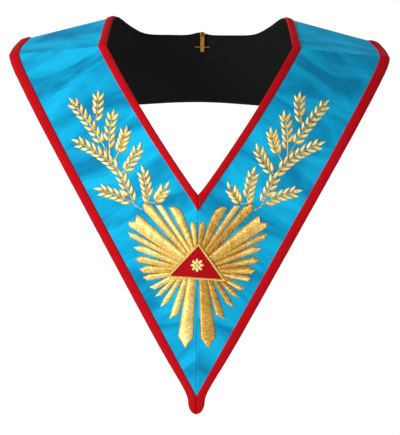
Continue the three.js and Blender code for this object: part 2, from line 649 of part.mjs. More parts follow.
// The gold cord round the field, a six-sided loop that lies on the band.
function cordGeometry() {
  const section = [[0.1, 0], [0.9, 0], [1, 0.5], [0.8, 1], [0.2, 1], [0, 0.5]];
  const foldX = -TRIANGLE_BASE_X;
  const path = [[-FIELD_HALF_BASE, 0], [foldX, 0], [FIELD_HALF_BASE, 0], [0, FIELD_HEIGHT]];
  const bottom = 2 * GAP + BAND_HEIGHT;
  const positions = [];
  const index = [];
  path.forEach(([x, z]) => section.forEach(([across, up]) => {
    const [px, pz] = trianglePoint(x, z, across * CORD_WIDTH);
    positions.push(...drapeLeg(px, pz, bottom + up * CORD_HEIGHT).toArray());
  }));
  const sides = section.length;
  path.forEach((_, i) => section.forEach((__, j) => {
    const a = i * sides + j;
    const b = i * sides + ((j + 1) % sides);
    const c = ((i + 1) % path.length) * sides + ((j + 1) % sides);
    const d = ((i + 1) % path.length) * sides + j;
    index.push(a, b, c, a, c, d);
  }));
  return finishGeometry(positions, index);
}

// A plain rosette in the middle of the field: a ring of pointed petals round a raised centre.
function rosetteGeometry() {
  const outline = [];
  for (let i = 0; i < 2 * ROSETTE_PETALS; i += 1) {
    const angle = (i * Math.PI) / ROSETTE_PETALS;
    const radius = ROSETTE_RADIUS * (i % 2 ? 0.55 : 1);
    const [x, z] = trianglePoint(0, innerRadius, 0);
    outline.push([x + radius * Math.sin(angle), z + radius * Math.cos(angle)]);
  }
  const centre = trianglePoint(0, innerRadius, 0);
  const joins = outline.map(() => 0);
  const flat = crownedSolid(outline, [centre], joins, ROSETTE_HEIGHT / 2, ROSETTE_HEIGHT);
  return layOnField(flat);
}

function layOnField(solid) {
  const mesh = solid.getMesh();
  const positions = [];
  for (let i = 0; i < mesh.vertProperties.length; i += mesh.numProp) {
    const [x, z, height] = mesh.vertProperties.slice(i, i + 3);
    positions.push(...drapeLeg(x, z, 2 * GAP + FIELD_THICKNESS + height).toArray());
  }
  return finishGeometry(positions, [...mesh.triVerts]);
}

// The hook folded over the neck edge at the centre back, and the cross bar soldered behind its inside leg. It is
// made flat, with x across, y down the ribbon from the neck edge and z off its face, and then set in place.
function hookGeometry() {
  const barHeight = LINING[0] - BAR_GAP - BAR_RADIUS;
  const inside = barHeight - BAR_RADIUS / 2;
  const outside = TAPE[1] + GAP;
  const top = -GAP;
  const profile = [
    [HOOK_INSIDE_LENGTH, inside - HOOK_THICKNESS],
    [top - HOOK_THICKNESS, inside - HOOK_THICKNESS],
    [top - HOOK_THICKNESS, outside + HOOK_THICKNESS],
    [HOOK_OUTSIDE_LENGTH, outside + HOOK_THICKNESS],
    [HOOK_OUTSIDE_LENGTH, outside],
    [top, outside],
    [top, inside],
    [HOOK_INSIDE_LENGTH, inside],
  ];
  const strip = plate(profile, -HOOK_WIDTH / 2, HOOK_WIDTH / 2);
  const bar = new THREE.CylinderGeometry(BAR_RADIUS, BAR_RADIUS, BAR_LENGTH, 8);
  bar.rotateX(Math.PI / 2);
  bar.translate(BAR_DROP, barHeight, 0);
  bar.deleteAttribute('normal');
  bar.deleteAttribute('uv');
  const round = mergeVertices(bar, 1e-4);
  const solid = strip.add(solidFrom([...round.attributes.position.array], [...round.index.array]));
  const down = edgeCurve.getPoint(0.5).sub(neckCurve.getPoint(0.5)).normalize();
  const across = new THREE.Vector3(1, 0, 0);
  const off = across.clone().cross(down);
  const start = neckCurve.getPoint(0.5);
  const mesh = solid.getMesh();
  const positions = [];
  for (let i = 0; i < mesh.vertProperties.length; i += mesh.numProp) {
    const [along, height, sideways] = mesh.vertProperties.slice(i, i + 3);
    const point = start.clone()
      .addScaledVector(down, along)
      .addScaledVector(off, height)
      .addScaledVector(across, HOOK_ASIDE + sideways);
    positions.push(...point.toArray());
  }
  return finishGeometry(positions, [...mesh.triVerts]);
}

const collar = new THREE.Group();

function addPart(name, geometry, finish) {
  const mesh = new THREE.Mesh(geometry, new THREE.MeshStandardMaterial(COLOURS[finish]));
  mesh.name = name;
  collar.add(mesh);
}

// Ribbon, lining and tapes
for (const [name, side] of [['left', -1], ['right', 1]]) {
  addPart(`panel_front_${name}`, legStrip(side, nose, CLOTH_COLUMNS, neckX, edgeX, PANEL), 'ribbon');
  addPart(`lining_front_${name}`, legStrip(side, nose, CLOTH_COLUMNS, neckX, edgeX, LINING), 'lining');
  addPart(`border_inner_front_${name}`, legStrip(side, neckTapeBottom, 1, neckX, neckTapeLine, TAPE), 'tape');
  addPart(`border_outer_front_${name}`, legStrip(side, nose, 1, edgeTapeLine, edgeX, TAPE), 'tape');
}
const neckSide = () => 0;
const edgeSide = () => 1;
const neckTape = (row) => tapeShare(row, neckCurve, NECK_TAPE_WIDTH);
const edgeTape = (row) => 1 - tapeShare(row, edgeCurve, EDGE_TAPE_WIDTH);
addPart('panel_back', shoulderStrip(CLOTH_COLUMNS, neckSide, edgeSide, PANEL), 'ribbon');
addPart('lining_back', shoulderStrip(CLOTH_COLUMNS, neckSide, edgeSide, LINING), 'lining');
addPart('border_inner_back', shoulderStrip(1, neckSide, neckTape, TAPE), 'tape');
addPart('border_outer_back', shoulderStrip(1, edgeTape, edgeSide, TAPE), 'tape');

// Embroidery
for (const [name, side] of [['left', -1], ['right', 1]]) {
  addPart(`rays_${name}`, layOn(side, raysSolid(side)), 'gold_thread');
  addPart(`spray_${name}`, layOn(side, foliageSolid(SPRAY_BRANCHES, SPRAY_TRUNK)), 'gold_thread');
  addPart(`sprig_${name}`, layOn(side, foliageSolid(SPRIG_BRANCHES, SPRIG_TRUNK)), 'gold_thread');
}
addPart('triangle_field', fieldGeometry(), 'red_field');
addPart('triangle_cord', cordGeometry(), 'gold_thread');
addPart('triangle_rosette', rosetteGeometry(), 'gold_thread');

// Metal
addPart('neck_hook', hookGeometry(), 'gilt_metal');

export default collar;
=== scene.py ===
"""Dresses the frame of a regalia collar: moire ribbon, red binding, black lining and gold embroidery.

The collar keeps its worn form. Shapes are worked out in millimetres in the frame of the solids (+Z up, the
front faces -Y, the origin in the middle of the neck) and turned to metres when a mesh is made. "The front
view" is the plane of x and z: a flat point of it is draped over the chest by Worn.leg.
"""

from __future__ import annotations

import logging
import math
from dataclasses import dataclass, field
from enum import Enum

import bmesh
import bpy
import numpy as np
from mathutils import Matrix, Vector

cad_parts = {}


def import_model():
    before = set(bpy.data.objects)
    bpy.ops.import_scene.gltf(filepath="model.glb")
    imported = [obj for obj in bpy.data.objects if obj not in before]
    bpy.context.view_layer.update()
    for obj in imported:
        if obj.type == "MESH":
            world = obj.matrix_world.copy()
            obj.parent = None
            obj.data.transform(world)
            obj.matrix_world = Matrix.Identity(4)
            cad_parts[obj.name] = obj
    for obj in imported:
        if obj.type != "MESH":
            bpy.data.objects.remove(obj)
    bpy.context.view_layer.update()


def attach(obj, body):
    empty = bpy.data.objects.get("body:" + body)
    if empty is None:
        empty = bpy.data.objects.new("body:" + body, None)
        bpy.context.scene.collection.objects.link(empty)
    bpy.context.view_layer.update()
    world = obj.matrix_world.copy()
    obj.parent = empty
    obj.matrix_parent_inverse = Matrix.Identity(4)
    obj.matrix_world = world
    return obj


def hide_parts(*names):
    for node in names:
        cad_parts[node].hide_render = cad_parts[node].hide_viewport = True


LOG = logging.getLogger("collar")
MM = 0.001

# Worn form


@dataclass(frozen=True)
class Cut:
    """Sizes that the collar is cut and draped to, in millimetres."""

    ribbon_width: float = 104.0
    front_to_ridge: float = 100.0
    vee_drop: float = 192.0
    tip_drop: float = 410.0
    seam_drop: float = 36.0
    seam_fall: float = 8.2
    seam_neck_x: float = 96.5
    seam_edge_x: float = 201.2
    corner_rounding: float = 2.8
    corner_reach: float = 7.0
    neck_half_width: float = 91.0
    neck_back: float = 72.0
    neck_bow: float = 3.6
    vee_rounding: float = 2.0
    nose_half_width: float = 8.0
    nose_height: float = 13.0
    nose_pinch: float = 2.2
    ribbon_thickness: float = 1.2
    lining_gap: float = 0.3
    lining_thickness: float = 1.0
    neck_tape: float = 7.5
    edge_tape: float = 9.5
    tape_height: float = 1.2

    @property
    def neck_slope(self) -> float:
        """Run over rise of a leg's neck edge in the front view."""
        return self.seam_neck_x / (self.vee_drop - self.seam_drop)

    @property
    def edge_slope(self) -> float:
        """Run over rise of a leg's outer edge in the front view."""
        return self.seam_edge_x / (self.tip_drop - self.seam_drop - self.seam_fall)

    @property
    def corner_x(self) -> float:
        """Where the seam meets the outer edge, at the rounded corner of the shoulder."""
        return self.seam_edge_x - self.corner_rounding

    @property
    def nose_bottom(self) -> float:
        """Height of the lowest point of the rounded nose."""
        return self.nose_half_width / self.edge_slope - self.tip_drop - self.nose_height

    @property
    def lining_top(self) -> float:
        """Height of the lining's outer face below the ribbon's face, as a negative number."""
        return -self.ribbon_thickness - self.lining_gap


# How a leg leaves the plane of the chest: share of the height from the V to the seam, share of the depth to
# the shoulder tops at the neck edge, and how fast the leg falls back outward from there.
LEG_DRAPE = np.array([
    (0.0, 0.0, 0.08),
    (0.2, 0.012, 0.09),
    (0.4, 0.045, 0.12),
    (0.6, 0.125, 0.18),
    (0.8, 0.275, 0.235),
    (1.0, 0.5, 0.267),
])

# The ribbon from the seam over a shoulder to the centre back: side, back and up place the neck edge, and out,
# behind and down lead from there to the outer edge, as shares of the neck's and the ribbon's sizes.
SHOULDER_DRAPE = np.array([
    (1.038, -0.347, -0.149, 0.972, 0.165, 0.173),
    (1.0, 0.0, 0.0, 0.942, 0.038, 0.24),
    (0.934, 0.264, -0.014, 0.985, 0.125, 0.332),
    (0.83, 0.569, -0.063, 1.003, 0.279, 0.486),
    (0.659, 0.917, -0.109, 0.885, 0.519, 0.699),
    (0.374, 0.99, -0.112, 0.481, 0.678, 0.67),
    (0.14, 1.0, -0.108, 0.163, 0.702, 0.64),
    (0.0, 1.0, -0.084, 0.0, 0.702, 0.656),
])


# Share of the way round over which the shoulder ribbon is drawn onto the legs at each seam
SEAM_STRETCH = 1 / 32


def read_table(rows: np.ndarray, column: int, at: np.ndarray) -> np.ndarray:
    """Reads a smooth curve through a table's rows.

    Args:
        rows: The table, with its key in column 0.
        column: The column to read.
        at: Keys to read it at, held inside the table's range.

    Returns:
        The values at those keys.
    """
    keys = rows[:, 0]
    values = rows[:, column]
    last = len(rows) - 1
    at = np.clip(at, keys[0], keys[last])
    i = np.clip(np.searchsorted(keys, at, side="left") - 1, 0, last - 1)
    slopes = np.zeros(len(rows))
    for k in range(1, last + 1):
        ahead = min(k + 1, last)
        slopes[k] = (values[ahead] - values[k - 1]) / (keys[ahead] - keys[k - 1])
    span = keys[i + 1] - keys[i]
    t = (at - keys[i]) / span
    start, rise = values[i], values[i + 1] - values[i]
    return (
        start
        + slopes[i] * span * (t - 2 * t**2 + t**3)
        + rise * (3 * t**2 - 2 * t**3)
        + slopes[i + 1] * span * (t**3 - t**2)
    )


class SplineLine:
    """A smooth line through chosen points, spaced so that it doesn't loop at sharp corners."""

    def __init__(self, points: np.ndarray) -> None:
        """Keeps the points that the line runs through."""
        self.points = points

    def at(self, t: np.ndarray) -> np.ndarray:
        """Returns the line's points at shares 0 to 1 of its stretches."""
        pts = self.points
        count = len(pts)
        padded = np.vstack([2 * pts[0] - pts[1], pts, 2 * pts[-1] - pts[-2]])
        place = (count - 1) * np.asarray(t, float)
        i = np.clip(np.floor(place).astype(int), 0, count - 2)
        w = (place - i)[:, None]
        p0, p1, p2, p3 = (padded[i + k] for k in range(4))
        d0, d1, d2 = (
            np.maximum(np.sum((b - a) ** 2, axis=1) ** 0.25, 1e-4)[:, None]
            for a, b in ((p0, p1), (p1, p2), (p2, p3))
        )
        m1 = ((p1 - p0) / d0 - (p2 - p0) / (d0 + d1) + (p2 - p1) / d1) * d1
        m2 = ((p2 - p1) / d1 - (p3 - p1) / (d1 + d2) + (p3 - p2) / d2) * d1
        c2 = -3 * p1 + 3 * p2 - 2 * m1 - m2
        c3 = 2 * p1 - 2 * p2 + m1 + m2
        return p1 + m1 * w + c2 * w**2 + c3 * w**3


class Worn:
    """The surface that the collar takes when worn."""

    def __init__(self, cut: Cut) -> None:
        """Works out the edges of the shoulder ribbon.

        Args:
            cut: The collar's sizes.
        """
        self.cut = cut
        c = cut
        neck = [self.leg(np.array([c.seam_neck_x]), np.array([-c.seam_drop]), 0.0)[0]]
        edge = [self.leg(np.array([c.corner_x]), np.array([-c.seam_drop - c.seam_fall]), 0.0)[0]]
        for side, back, up, out, behind, down in SHOULDER_DRAPE:
            start = np.array([side * c.neck_half_width, back * c.neck_back, up * c.ribbon_width])
            neck.append(start)
            edge.append(start + np.array([out, behind, -down]) * c.ribbon_width)
        mirror = np.array([-1.0, 1.0, 1.0])
        self.neck = SplineLine(np.vstack([np.array(neck) * mirror, np.array(neck)[-2::-1]]))
        self.edge = SplineLine(np.vstack([np.array(edge) * mirror, np.array(edge)[-2::-1]]))

    def height_share(self, z: np.ndarray) -> np.ndarray:
        """Returns the share of the height from the V up to the seam."""
        return (z + self.cut.vee_drop) / (self.cut.vee_drop - self.cut.seam_drop)

    def sharp_neck_x(self, z: np.ndarray) -> np.ndarray:
        """Returns the neck edge of a leg in the front view, before its corner is rounded."""
        up = self.height_share(z)
        bow = np.where(up > 0, 4 * self.cut.neck_bow * up * (1 - up), 0.0)
        return self.cut.seam_neck_x * up + bow

    def neck_x(self, z: np.ndarray) -> np.ndarray:
        """Returns the neck edge of a leg in the front view."""
        sharp = self.sharp_neck_x(z)
        rounding = self.cut.vee_rounding
        return np.where(sharp > rounding, np.sqrt(np.maximum(sharp**2 - rounding**2, 0.0)), 0.0)

    def edge_x(self, z: np.ndarray) -> np.ndarray:
        """Returns the outer edge of a leg in the front view: straight, a slight waist and a round nose."""
        c = self.cut
        centre = c.nose_bottom + c.nose_height
        above = np.maximum(z - centre, 0.0) / c.nose_height
        below = np.clip((centre - z) / c.nose_height, 0.0, 1.0)
        straight = (z + c.tip_drop) * c.edge_slope - c.nose_pinch * above * np.exp(1 - above)
        nose = c.nose_half_width * np.sqrt(1 - below**2)
        return np.where(z < centre, nose, straight - self.corner_inset(z))

    def corner_inset(self, z: np.ndarray) -> np.ndarray:
        """Returns how far a leg's outer edge is drawn in at a height, to round the shoulder's corner."""
        c = self.cut
        return c.corner_rounding * np.exp(np.minimum(z + c.seam_drop + c.seam_fall, 0) / c.corner_reach)

    def depth(self, x: np.ndarray, z: np.ndarray) -> np.ndarray:
        """Returns how far behind the plane of the chest a point of a leg lies; x is counted outward."""
        up = self.height_share(z)
        back = self.cut.front_to_ridge * read_table(LEG_DRAPE, 1, up)
        return back + read_table(LEG_DRAPE, 2, up) * (x - np.maximum(0.0, self.sharp_neck_x(z)))

    def leg(self, x: np.ndarray, z: np.ndarray, height: np.ndarray | float) -> np.ndarray:
        """Drapes flat points of the front view over the chest.

        Args:
            x: Across, with its sign.
            z: Up.
            height: Off the ribbon's face.

        Returns:
            Worn points in millimetres, one a row.
        """
        x, z, height = np.broadcast_arrays(np.asarray(x, float), z, height)
        out = np.abs(x)
        step = 0.5
        across = (self.depth(out + step, z) - self.depth(out - step, z)) / (2 * step)
        upward = (self.depth(out, z + step) - self.depth(out, z - step)) / (2 * step)
        lift = height * np.sqrt(1 + across**2 + upward**2) / (1 + upward**2)
        y = self.depth(out, z) - self.cut.front_to_ridge - lift
        return np.stack([x, y, z + lift * upward], axis=-1)

    def shoulder(self, t: np.ndarray, share: np.ndarray, height: np.ndarray | float) -> np.ndarray:
        """Places points of the shoulder ribbon.

        Args:
            t: Share of the way from the left seam round the back to the right seam.
            share: Share of the width from the neck edge.
            height: Off the ribbon's face.

        Returns:
            Worn points in millimetres, one a row.
        """
        t, share, height = np.broadcast_arrays(np.asarray(t, float), share, height)
        step = 1e-3
        share = share[:, None]

        def on(at: np.ndarray) -> np.ndarray:
            neck, edge = self.neck.at(at), self.edge.at(at)
            return neck + (edge - neck) * share

        point = on(t)
        ahead = on(np.minimum(t + step, 1.0)) - on(np.maximum(t - step, 0.0))
        normal = np.cross(ahead, self.edge.at(t) - self.neck.at(t))
        normal /= np.linalg.norm(normal, axis=1)[:, None]
        return point + self.seam_pull(t, share[:, 0], height, normal) + normal * height[:, None]

    def near_seam(self, t: np.ndarray) -> np.ndarray:
        """Returns 1 at the seams and 0 where the shoulder ribbon is no longer drawn onto the legs."""
        return np.clip(1 - np.minimum(t, 1 - t) / SEAM_STRETCH, 0.0, 1.0)

    def seam_pull(self, t: np.ndarray, share: np.ndarray, height: np.ndarray,
                  normal: np.ndarray) -> np.ndarray:
        """Returns the move that brings the shoulder ribbon's ends onto the legs at the seams."""
        c = self.cut
        near = self.near_seam(t)[:, None]
        side = np.where(t < 0.5, -1.0, 1.0)
        x = side * (c.seam_neck_x + (c.corner_x - c.seam_neck_x) * share)
        at_seam = self.leg(x, -c.seam_drop - c.seam_fall * share, height)
        end = np.where(t < 0.5, 0.0, 1.0)
        line = self.neck.at(end) + (self.edge.at(end) - self.neck.at(end)) * share[:, None]
        return (at_seam - line - normal * height[:, None]) * near


# Meshes


def make_object(name: str, points: np.ndarray, faces: list[tuple[int, ...]]) -> bpy.types.Object:
    """Makes a smooth mesh object from points in millimetres.

    Args:
        name: The piece's name.
        points: Corner points, one a row, in millimetres.
        faces: Corner numbers of each face.

    Returns:
        The object, linked to the scene and riding on the collar.
    """
    mesh = bpy.data.meshes.new(name)
    mesh.from_pydata((points * MM).tolist(), [], faces)
    mesh.update(calc_edges=True)
    mesh.validate()
    mesh.polygons.foreach_set("use_smooth", [True] * len(mesh.polygons))
    mesh.update()
    piece = bpy.data.objects.new(name, mesh)
    bpy.context.scene.collection.objects.link(piece)
    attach(piece, "root")
    return piece


def set_uv(piece: bpy.types.Object, flat: np.ndarray) -> None:
    """Stores each point's flat place, in metres, as the piece's UV map.

    Args:
        piece: The mesh object.
        flat: Across and along, one row a point, in millimetres.
    """
    layer = piece.data.uv_layers.new(name="flat")
    corners = np.zeros(len(piece.data.loops), int)
    piece.data.loops.foreach_get("vertex_index", corners)
    layer.data.foreach_set("uv", (flat[corners] * MM).ravel())


def set_tone(piece: bpy.types.Object, tone: np.ndarray) -> None:
    """Stores a number from 0 to 1 for each point, which its material reads as tone."""
    attribute = piece.data.attributes.new("tone", "FLOAT", "POINT")
    attribute.data.foreach_set("value", np.asarray(tone, float))


def grid_faces(rows: int, columns: int, first: int = 0,
               flip: bool = False) -> list[tuple[int, int, int, int]]:
    """Returns the quads of a grid of points, counted row by row from first."""
    faces = []
    for i in range(rows - 1):
        for j in range(columns - 1):
            a = first + i * columns + j
            quad = (a, a + 1, a + columns + 1, a + columns)
            faces.append(quad[::-1] if flip else quad)
    return faces


def sheet_faces(rows: int, columns: int) -> list[tuple[int, int, int, int]]:
    """Returns the quads of a closed sheet: an outer grid, then an inner grid, and the walls round them."""
    size = rows * columns
    faces = grid_faces(rows, columns) + grid_faces(rows, columns, size, flip=True)
    ring = list(range(columns))
    ring += [i * columns + columns - 1 for i in range(1, rows)]
    ring += [(rows - 1) * columns + j for j in range(columns - 2, -1, -1)]
    ring += [i * columns for i in range(rows - 2, 0, -1)]
    for k, a in enumerate(ring):
        b = ring[(k + 1) % len(ring)]
        faces.append((b, a, a + size, b + size))
    return faces


def front_outward(piece: bpy.types.Object) -> None:
    """Turns a closed piece's faces outward."""
    mesh = bmesh.new()
    mesh.from_mesh(piece.data)
    bmesh.ops.recalc_face_normals(mesh, faces=mesh.faces)
    mesh.to_mesh(piece.data)
    mesh.free()


# Finishes


def linear(code: str) -> tuple[float, float, float, float]:
    """Turns an sRGB hex colour to linear, with full alpha."""
    parts = [int(code[k:k + 2], 16) / 255 for k in (1, 3, 5)]
    return (*(p / 12.92 if p <= 0.04045 else ((p + 0.055) / 1.055) ** 2.4 for p in parts), 1.0)


class Recipe:
    """A material under construction."""

    def __init__(self, name: str) -> None:
        """Starts a material with its surface shader."""
        self.material = bpy.data.materials.new(name)
        self.material.use_nodes = True
        self.tree = self.material.node_tree
        self.shader = self.tree.nodes["Principled BSDF"]

    def add(self, kind: str, links: dict[str, object] | None = None, **settings: object) -> bpy.types.Node:
        """Adds a node.

        Args:
            kind: The node's type.
            links: Input name or number to a value, or to an output that feeds it.
            settings: The node's own properties.

        Returns:
            The node.
        """
        node = self.tree.nodes.new(kind)
        for key, value in settings.items():
            setattr(node, key, value)
        for key, value in (links or {}).items():
            socket = node.inputs[key]
            if isinstance(value, bpy.types.NodeSocket):
                self.tree.links.new(value, socket)
            else:
                socket.default_value = value
        return node

    def feed(self, socket: str, source: bpy.types.NodeSocket) -> None:
        """Links an output to one of the surface shader's inputs."""
        self.tree.links.new(source, self.shader.inputs[socket])

    def flat(self) -> bpy.types.NodeSocket:
        """Returns the cloth's flat place, in metres."""
        return self.add("ShaderNodeUVMap", uv_map="flat").outputs["UV"]

    def relief(self, strength: float, distance: float, height: bpy.types.NodeSocket) -> None:
        """Gives the surface a relief, from a height from 0 to 1 that stands for a distance in metres."""
        bump = self.add("ShaderNodeBump", {"Strength": strength, "Distance": distance, "Height": height})
        self.feed("Normal", bump.outputs[0])

    def fix(self, **values: object) -> None:
        """Sets plain values on the surface shader; underscores stand for spaces."""
        for key, value in values.items():
            self.shader.inputs[key.replace("_", " ")].default_value = value


@dataclass(frozen=True)
class MoireRibbon:
    """Moire faille: a ribbed silky ribbon, calendered so that its crushed ribs shine in waves.

    The eye sees fine ribs across the ribbon and soft lighter and darker watermarks that run along them, which
    are partly the ribbon's pattern and partly painted sheen.
    """

    base: str = "#139dca"
    bright: str = "#19b4e2"
    dark: str = "#107eaa"
    rib_unit_mm: float = 0.9

    def build(self) -> bpy.types.Material:
        """Returns the ribbon's material."""
        r = Recipe("moire_faille_ribbon")
        flat = r.flat()
        # Watermarks and painted sheen: soft lighter and darker bands that lie across the ribbon and waver,
        # about 75 mm long and 25 mm apart, shifted so that the left leg's top comes out lighter and the right
        # leg darker
        wide = r.add(
            "ShaderNodeMapping", {"Vector": flat, "Location": (1.6, 11.5, 0), "Scale": (13, 38, 1)}
        ).outputs[0]
        marks = r.add(
            "ShaderNodeTexNoise",
            {"Vector": wide, "Scale": 1.0, "Detail": 3.5, "Roughness": 0.55, "Distortion": 0.7},
        )
        tone = r.add("ShaderNodeValToRGB", {"Fac": marks.outputs[0]})
        ramp = tone.color_ramp
        ramp.elements[0].position = 0.36
        ramp.elements[0].color = linear(self.dark)
        ramp.elements[1].position = 0.64
        ramp.elements[1].color = linear(self.bright)
        ramp.elements.new(0.5).color = linear(self.base)
        # Grain of the watermarks: fine streaks along the ribs, 2 mm by 12 mm
        streak_space = r.add("ShaderNodeMapping", {"Vector": flat, "Scale": (85, 500, 1)}).outputs[0]
        streaks = r.add("ShaderNodeTexNoise", {"Vector": streak_space, "Scale": 1.0, "Detail": 2.0})
        grain = r.add("ShaderNodeMapRange", {0: streaks.outputs[0], 1: 0.35, 2: 0.65, 3: 0.95, 4: 1.03})
        # Ribs: at this scale the wave repeats every 0.63 of its units, so they lie 0.57 mm apart
        rib_space = r.add("ShaderNodeMapping", {"Vector": flat, "Scale": (4, 1 / (self.rib_unit_mm * MM), 1)})
        ribs = r.add(
            "ShaderNodeTexWave",
            {"Vector": rib_space.outputs[0], "Scale": 0.5, "Distortion": 0.8, "Detail": 1.0},
            bands_direction="Y",
        )
        shaded = r.add(
            "ShaderNodeMix", {"Factor": 1.0, "A": tone.outputs[0], "B": grain.outputs[0]}, data_type="RGBA",
            blend_type="MULTIPLY",
        )
        r.feed("Base Color", shaded.outputs[2])
        r.relief(0.3, 0.0002, ribs.outputs[1])
        r.fix(Roughness=0.6, Specular_IOR_Level=0.03, Specular_Tint=linear(self.bright))
        return r.material


@dataclass(frozen=True)
class WovenTape:
    """Red rayon grosgrain binding: a matt tape whose ribs slant where it is drawn over the edge."""

    base: str = "#d4161f"
    dark: str = "#a41018"

    def build(self) -> bpy.types.Material:
        """Returns the tape's material."""
        r = Recipe("rayon_grosgrain_tape")
        flat = r.flat()
        # Ribs: slanting rows 1.5 mm apart, drawn coarse so that they show; the colour is darker in the
        # hollows between them, painted shade, and in random patches
        wave = r.add(
            "ShaderNodeTexWave",
            {"Vector": flat, "Scale": 290.0, "Distortion": 1.2, "Detail": 2.0, "Detail Scale": 2.0},
            bands_direction="DIAGONAL",
        )
        patches = r.add("ShaderNodeTexNoise", {"Vector": flat, "Scale": 120.0, "Detail": 3.0})
        height = r.add("ShaderNodeMath", {0: wave.outputs[1], 1: patches.outputs[0]}, operation="MULTIPLY")
        colour = r.add(
            "ShaderNodeMix", {"Factor": height.outputs[0], "A": linear(self.dark), "B": linear(self.base)},
            data_type="RGBA",
        )
        r.feed("Base Color", colour.outputs[2])
        r.relief(0.5, 0.0003, height.outputs[0])
        r.fix(Roughness=0.75, Specular_IOR_Level=0.05, Specular_Tint=linear(self.base))
        return r.material


@dataclass(frozen=True)
class CottonLining:
    """Black cotton lining: plain weave, dyed, dull with a faint nap."""

    base: str = "#161616"

    def build(self) -> bpy.types.Material:
        """Returns the lining's material."""
        r = Recipe("black_cotton_lining")
        flat = r.flat()
        weave = r.add("ShaderNodeTexNoise", {"Vector": flat, "Scale": 900.0, "Detail": 2.0})
        creases = r.add("ShaderNodeTexNoise", {"Vector": flat, "Scale": 14.0, "Detail": 2.0})
        fine = r.add("ShaderNodeBump", {"Strength": 0.3, "Distance": 0.0002, "Height": weave.outputs[0]})
        soft = r.add(
            "ShaderNodeBump",
            {"Strength": 0.25, "Distance": 0.004, "Height": creases.outputs[0], "Normal": fine.outputs[0]},
        )
        r.feed("Normal", soft.outputs[0])
        r.fix(Base_Color=linear(self.base), Roughness=0.9, Specular_IOR_Level=0.05)
        return r.material


@dataclass(frozen=True)
class GoldThread:
    """Metallised polyester embroidery thread over padding: satin stitches with a warm metallic sheen.

    The eye sees fine bright and dark stitches side by side, partly painted glints, and the underlay at the
    edges of each leaf and ray, coloured dark as painted shadow, which is tone 0 and less.
    """

    bright: str = "#fff8b8"
    light: str = "#f2d67c"
    mid: str = "#d29e3c"
    dark: str = "#7a5418"
    # Painted shadow: the dark colour of the underlay that rims each leaf and ray
    underlay_shadow: str = "#3a3c20"
    metallic: float = 0.5
    roughness: float = 0.36

    def build(self) -> bpy.types.Material:
        """Returns the thread's material."""
        r = Recipe("metallised_embroidery_thread")
        tone = r.add("ShaderNodeAttribute", attribute_name="tone").outputs["Fac"]
        place = r.add("ShaderNodeTexCoord").outputs["Object"]
        # Painted glints: the tone is raised and lowered every 1.5 mm, as if the thread's foil turned in and
        # out of the light
        painted_glints = r.add("ShaderNodeTexNoise", {"Vector": place, "Scale": 650.0, "Detail": 1.5})
        turned = r.add("ShaderNodeMapRange", {0: painted_glints.outputs[0], 1: 0.3, 2: 0.7, 3: -0.16, 4: 0.16})
        mixed = r.add("ShaderNodeMath", {0: tone, 1: turned.outputs[0]}, operation="ADD")
        ramp = r.add("ShaderNodeValToRGB", {"Fac": mixed.outputs[0]})
        ramp.color_ramp.elements[0].color = linear(self.underlay_shadow)
        ramp.color_ramp.elements[1].color = linear(self.bright)
        ramp.color_ramp.elements.new(0.1).color = linear(self.dark)
        ramp.color_ramp.elements.new(0.45).color = linear(self.mid)
        ramp.color_ramp.elements.new(0.75).color = linear(self.light)
        grain = r.add("ShaderNodeTexNoise", {"Vector": place, "Scale": 1600.0, "Detail": 1.0})
        r.feed("Base Color", ramp.outputs[0])
        r.relief(0.3, 0.0001, grain.outputs[0])
        r.fix(Metallic=self.metallic, Roughness=self.roughness)
        return r.material


@dataclass(frozen=True)
class RedSatin:
    """Red rayon satin stitched flat: close threads that run across the triangle."""

    base: str = "#b81018"
    dark: str = "#98101a"

    def build(self) -> bpy.types.Material:
        """Returns the satin's material."""
        r = Recipe("red_rayon_satin")
        flat = r.flat()
        # Threads: the colour is darker in the hollows between them, painted shade
        threads = r.add(
            "ShaderNodeTexWave", {"Vector": flat, "Scale": 350.0, "Distortion": 0.5}, bands_direction="Y"
        )
        colour = r.add(
            "ShaderNodeMix", {"Factor": threads.outputs[1], "A": linear(self.dark), "B": linear(self.base)},
            data_type="RGBA",
        )
        r.feed("Base Color", colour.outputs[2])
        r.relief(0.3, 0.0002, threads.outputs[1])
        r.fix(Roughness=0.5, Specular_IOR_Level=0.2, Specular_Tint=linear(self.base))
        return r.material


@dataclass(frozen=True)
class GiltBrass:
    """Polished gilt brass, bent from strip and wire, with the fine scratches of use."""

    base: str = "#a6732f"

    def build(self) -> bpy.types.Material:
        """Returns the metal's material."""
        r = Recipe("polished_gilt_brass")
        place = r.add("ShaderNodeTexCoord").outputs["Object"]
        wear = r.add("ShaderNodeTexNoise", {"Vector": place, "Scale": 400.0, "Detail": 3.0})
        rough = r.add("ShaderNodeMapRange", {0: wear.outputs[0], 3: 0.18, 4: 0.38})
        r.feed("Roughness", rough.outputs[0])
        r.fix(Base_Color=linear(self.base), Metallic=1.0)
        return r.material


class Finish(Enum):
    """The finishes of the collar, each with the record's slot that it stands for."""

    RIBBON = "ribbon"
    TAPE = "tape"
    LINING = "lining"
    GOLD = "gold_thread"
    SATIN = "red_field"
    METAL = "gilt_metal"


# The pieces of each stretch of ribbon: the finish, and the start of the name of the node that each replaces
CLOTH = {
    "ribbon": (Finish.RIBBON, "panel"),
    "lining": (Finish.LINING, "lining"),
    "neck_tape": (Finish.TAPE, "border_inner"),
    "edge_tape": (Finish.TAPE, "border_outer"),
}


